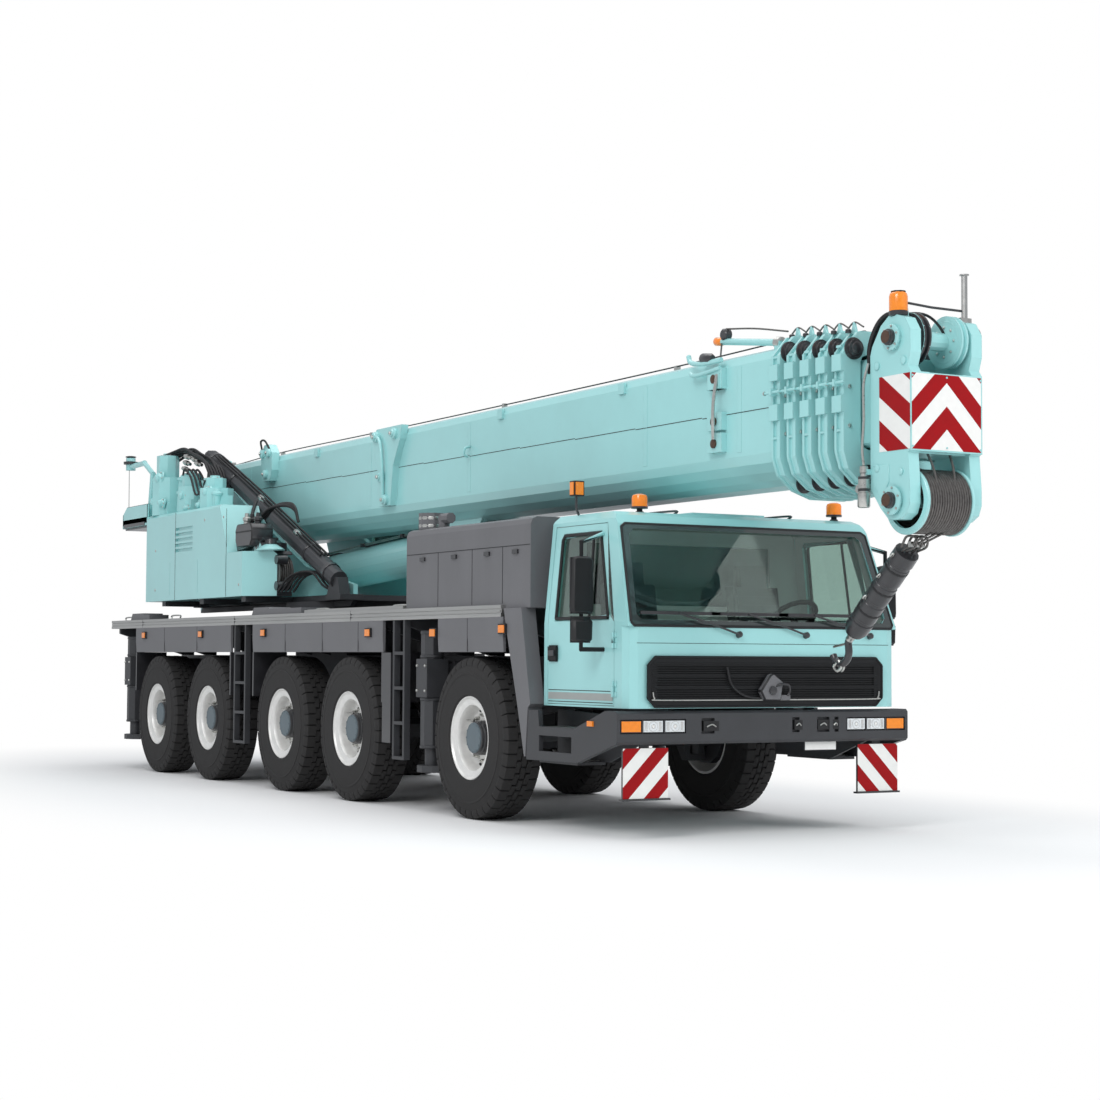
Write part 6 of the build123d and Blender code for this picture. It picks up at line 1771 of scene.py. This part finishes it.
def lift_tube_details():
    """End rings, pipes and clamps on the lift cylinder."""
    foot, eye = Vector((-4.6, 0, 2.235)), Vector((0.1, 0, 2.5))
    heading = (eye - foot).normalized()
    maker = Maker("lift_cylinder_trim", "lift_cylinder_tube", "green_paint", "body")
    maker.turned(
        foot, heading, [(0.16, 0.17), (0.17, 0.2005), (0.45, 0.2025), (0.47, 0.222), (0.55, 0.222),
        (0.57, 0.2025), (3.74, 0.2025), (3.76, 0.221), (3.9, 0.221), (3.915, 0.2), (3.915, 0.1325)], "body",
        56, caps=False)
    for y in (-0.10, 0.10):
        rises = ((0.6, 0.215), (2.0, 0.218), (3.7, 0.216))
        maker.tube([foot + heading * reach + Vector((0, y, z)) for reach, z in rises], 0.013, "zinc", 8)
    for reach in (1.2, 2.2, 3.2):
        spot = foot + heading * reach
        maker.block(spot + Vector((-0.03, -0.13, 0.195)), spot + Vector((0.03, 0.13, 0.235)), "black", 0.006)
    maker.done()


def jack_details(end, side):
    """Rings and nuts on one outrigger jack."""
    sign = 1 if side == "left" else -1
    x, y = middle(f"outrigger_jack_{end}_{side}").x, sign * 1.255
    jack = Maker(f"jack_trim_{end}_{side}", f"outrigger_{end}_{side}", "grey_paint", "carrier")
    for z in (0.56, 0.98, 1.36, 1.57):
        jack.turned(
            (x, y, z), UP, [(0, 0.103), (0.004, 0.108), (0.022, 0.108), (0.026, 0.103)], "carrier", 24)
    for z in (1.07, 1.29):
        for dx in (-0.08, 0.08):
            jack.nut((x + dx, y + sign * 0.107, z), (0, sign, 0), 0.026, 0.014, "zinc")
    jack.done()


class CRANE_OT_cylinder_trim(bpy.types.Operator):
    """End rings, pipes and clamps on the lift cylinder, and rings on the outrigger jacks"""
    bl_idname = "crane.cylinder_trim"
    bl_label = "Cylinder trim"

    def execute(self, context):
        lift_tube_details()
        for end in ("front", "rear"):
            for side in SIDES:
                jack_details(end, side)
        return {"FINISHED"}


# ---------------------------------------------------------------- stage
def studio_floor(scene):
    """A large pale floor that fades into the white surround."""
    half = 90.0
    data = bpy.data.meshes.new("floor")
    data.from_pydata(
        [(-half, -half, 0), (half, -half, 0), (half, half, 0), (-half, half, 0)], [], [(0, 1, 2, 3)])
    floor = bpy.data.objects.new("floor", data)
    scene.collection.objects.link(floor)
    material = bpy.data.materials.new("painted_studio_floor")
    material.use_nodes = True
    tree = material.node_tree
    tree.nodes.clear()
    plain = add_node(tree, "ShaderNodeBsdfDiffuse", inputs={"Color": (0.86, 0.86, 0.86, 1.0)})
    bright = add_node(tree, "ShaderNodeEmission", inputs={"Color": (1, 1, 1, 1), "Strength": 1.0})
    place = add_node(tree, "ShaderNodeTexCoord")
    flat = add_node(
        tree, "ShaderNodeMapping", inputs={"Vector": place.outputs["Object"], "Scale": (0.085, 0.22, 1.0)})
    away = add_node(tree, "ShaderNodeVectorMath", {"operation": "LENGTH"}, {0: flat.outputs["Vector"]})
    fade = add_node(
        tree, "ShaderNodeMapRange", {"interpolation_type": "SMOOTHSTEP"},
        {"Value": away.outputs["Value"], "From Min": 0.62, "From Max": 1.15})
    path = add_node(tree, "ShaderNodeLightPath")
    seen = add_node(
        tree, "ShaderNodeMath", {"operation": "MULTIPLY"}, {0: path.outputs["Is Camera Ray"],
        1: fade.outputs["Result"]})
    mix = add_node(
        tree, "ShaderNodeMixShader", inputs={0: seen.outputs["Value"], 1: plain.outputs["BSDF"],
        2: bright.outputs["Emission"]})
    output = add_node(tree, "ShaderNodeOutputMaterial")
    tree.links.new(mix.outputs["Shader"], output.inputs["Surface"])
    data.materials.append(material)


def surround(scene):
    """Soft blue-white light all round, seen as plain white by the camera and through glass."""
    world = bpy.data.worlds.new("surround")
    scene.world = world
    world.use_nodes = True
    tree = world.node_tree
    tree.nodes.clear()
    path = add_node(tree, "ShaderNodeLightPath")
    gloss = add_node(
        tree, "ShaderNodeMath", {"operation": "MAXIMUM"}, {0: path.outputs["Is Camera Ray"],
        1: path.outputs["Is Transmission Ray"]})
    soft = add_node(tree, "ShaderNodeBackground", inputs={"Color": (0.93, 0.96, 1.0, 1.0), "Strength": 0.62})
    white = add_node(tree, "ShaderNodeBackground", inputs={"Color": (1, 1, 1, 1), "Strength": 1.0})
    mix = add_node(
        tree, "ShaderNodeMixShader", inputs={0: gloss.outputs["Value"], 1: soft.outputs["Background"],
        2: white.outputs["Background"]})
    output = add_node(tree, "ShaderNodeOutputWorld")
    tree.links.new(mix.outputs["Shader"], output.inputs["Surface"])


def lamps(scene):
    """Key, front and top lamps; the front one leaves no reflection."""
    # Each lamp: its name, place, aim, power in watts and width.
    rows = (
        ("key", (14, -15, 15), (1.0, -0.4, 1.4), 1700, 9.0), ("front", (17, 6, 8), (4.0, 0.3, 1.6), 700,
        8.0), ("top", (-1, 0, 16), (-0.5, 0, 1.0), 1100, 14.0))
    for name, place, aim, power, width in rows:
        lamp_data = bpy.data.lights.new(name, "AREA")
        lamp_data.energy = power
        lamp_data.size = width
        lamp = bpy.data.objects.new(name, lamp_data)
        scene.collection.objects.link(lamp)
        lamp.location = place
        lamp.visible_glossy = name != "front"
        lamp.rotation_euler = (Vector(aim) - Vector(place)).to_track_quat("-Z", "Y").to_euler()


def camera(scene):
    """A long lens at the height of a standing person's chest, ahead of the crane on its right."""
    camera_data = bpy.data.cameras.new("camera")
    camera_data.lens = 68.70
    camera_data.sensor_width = 36.0
    camera_data.clip_end = 400.0
    camera = bpy.data.objects.new("camera", camera_data)
    scene.collection.objects.link(camera)
    yaw, pitch, roll = math.radians(29.40), math.radians(2.956), math.radians(0.295)
    view = Vector((-math.cos(yaw) * math.cos(pitch), math.sin(yaw) * math.cos(pitch), math.sin(pitch)))
    camera.location = (18.413, -9.512, 1.360)
    camera.rotation_euler = (view.to_track_quat("-Z", "Y").to_matrix() @ Matrix.Rotation(roll, 3,
        "Z")).to_euler()
    scene.camera = camera
    scene.view_settings.view_transform = "Standard"


class CRANE_OT_stage(bpy.types.Operator):
    """Pale floor, soft studio light, white surround and the camera"""
    bl_idname = "crane.stage"
    bl_label = "Stage"

    def execute(self, context):
        scene = bpy.context.scene
        studio_floor(scene)
        surround(scene)
        lamps(scene)
        camera(scene)
        return {"FINISHED"}


class CRANE_PT_pieces(bpy.types.Panel):
    """Lists the crane's pieces and the values they take"""
    bl_idname = "CRANE_PT_pieces"
    bl_label = "Crane"
    bl_space_type = "VIEW_3D"
    bl_region_type = "UI"
    bl_category = "Crane"

    def draw(self, context):
        for group in (context.scene.crane_colours, context.scene.crane_sizes):
            box = self.layout.box()
            for name in group.bl_rna.properties.keys():
                if name not in ("rna_type", "name"):
                    box.prop(group, name)
        for operator in OPERATORS:
            self.layout.operator(operator.bl_idname)


OPERATORS = (
    CRANE_OT_stage, CRANE_OT_finishes, CRANE_OT_tyres, CRANE_OT_rims, CRANE_OT_deck_trim,
    CRANE_OT_skirt_trim, CRANE_OT_bumper_trim, CRANE_OT_cab_trim, CRANE_OT_door_trim, CRANE_OT_cab_inside,
    CRANE_OT_upper_trim, CRANE_OT_crane_cab_trim, CRANE_OT_boom_trim, CRANE_OT_collar_trim,
    CRANE_OT_head_trim, CRANE_OT_hook_trim, CRANE_OT_cylinder_trim)
CLASSES = (CraneColours, CraneSizes) + OPERATORS + (CRANE_PT_pieces,)


def register():
    for each in CLASSES:
        bpy.utils.register_class(each)
    bpy.types.Scene.crane_colours = PointerProperty(type=CraneColours)
    bpy.types.Scene.crane_sizes = PointerProperty(type=CraneSizes)


def unregister():
    del bpy.types.Scene.crane_sizes
    del bpy.types.Scene.crane_colours
    for each in reversed(CLASSES):
        bpy.utils.unregister_class(each)


def main():
    register()
    for operator in OPERATORS:
        name = operator.bl_idname.split(".")[1]
        getattr(bpy.ops.crane, name)()


if __name__ == "__main__":
    main()
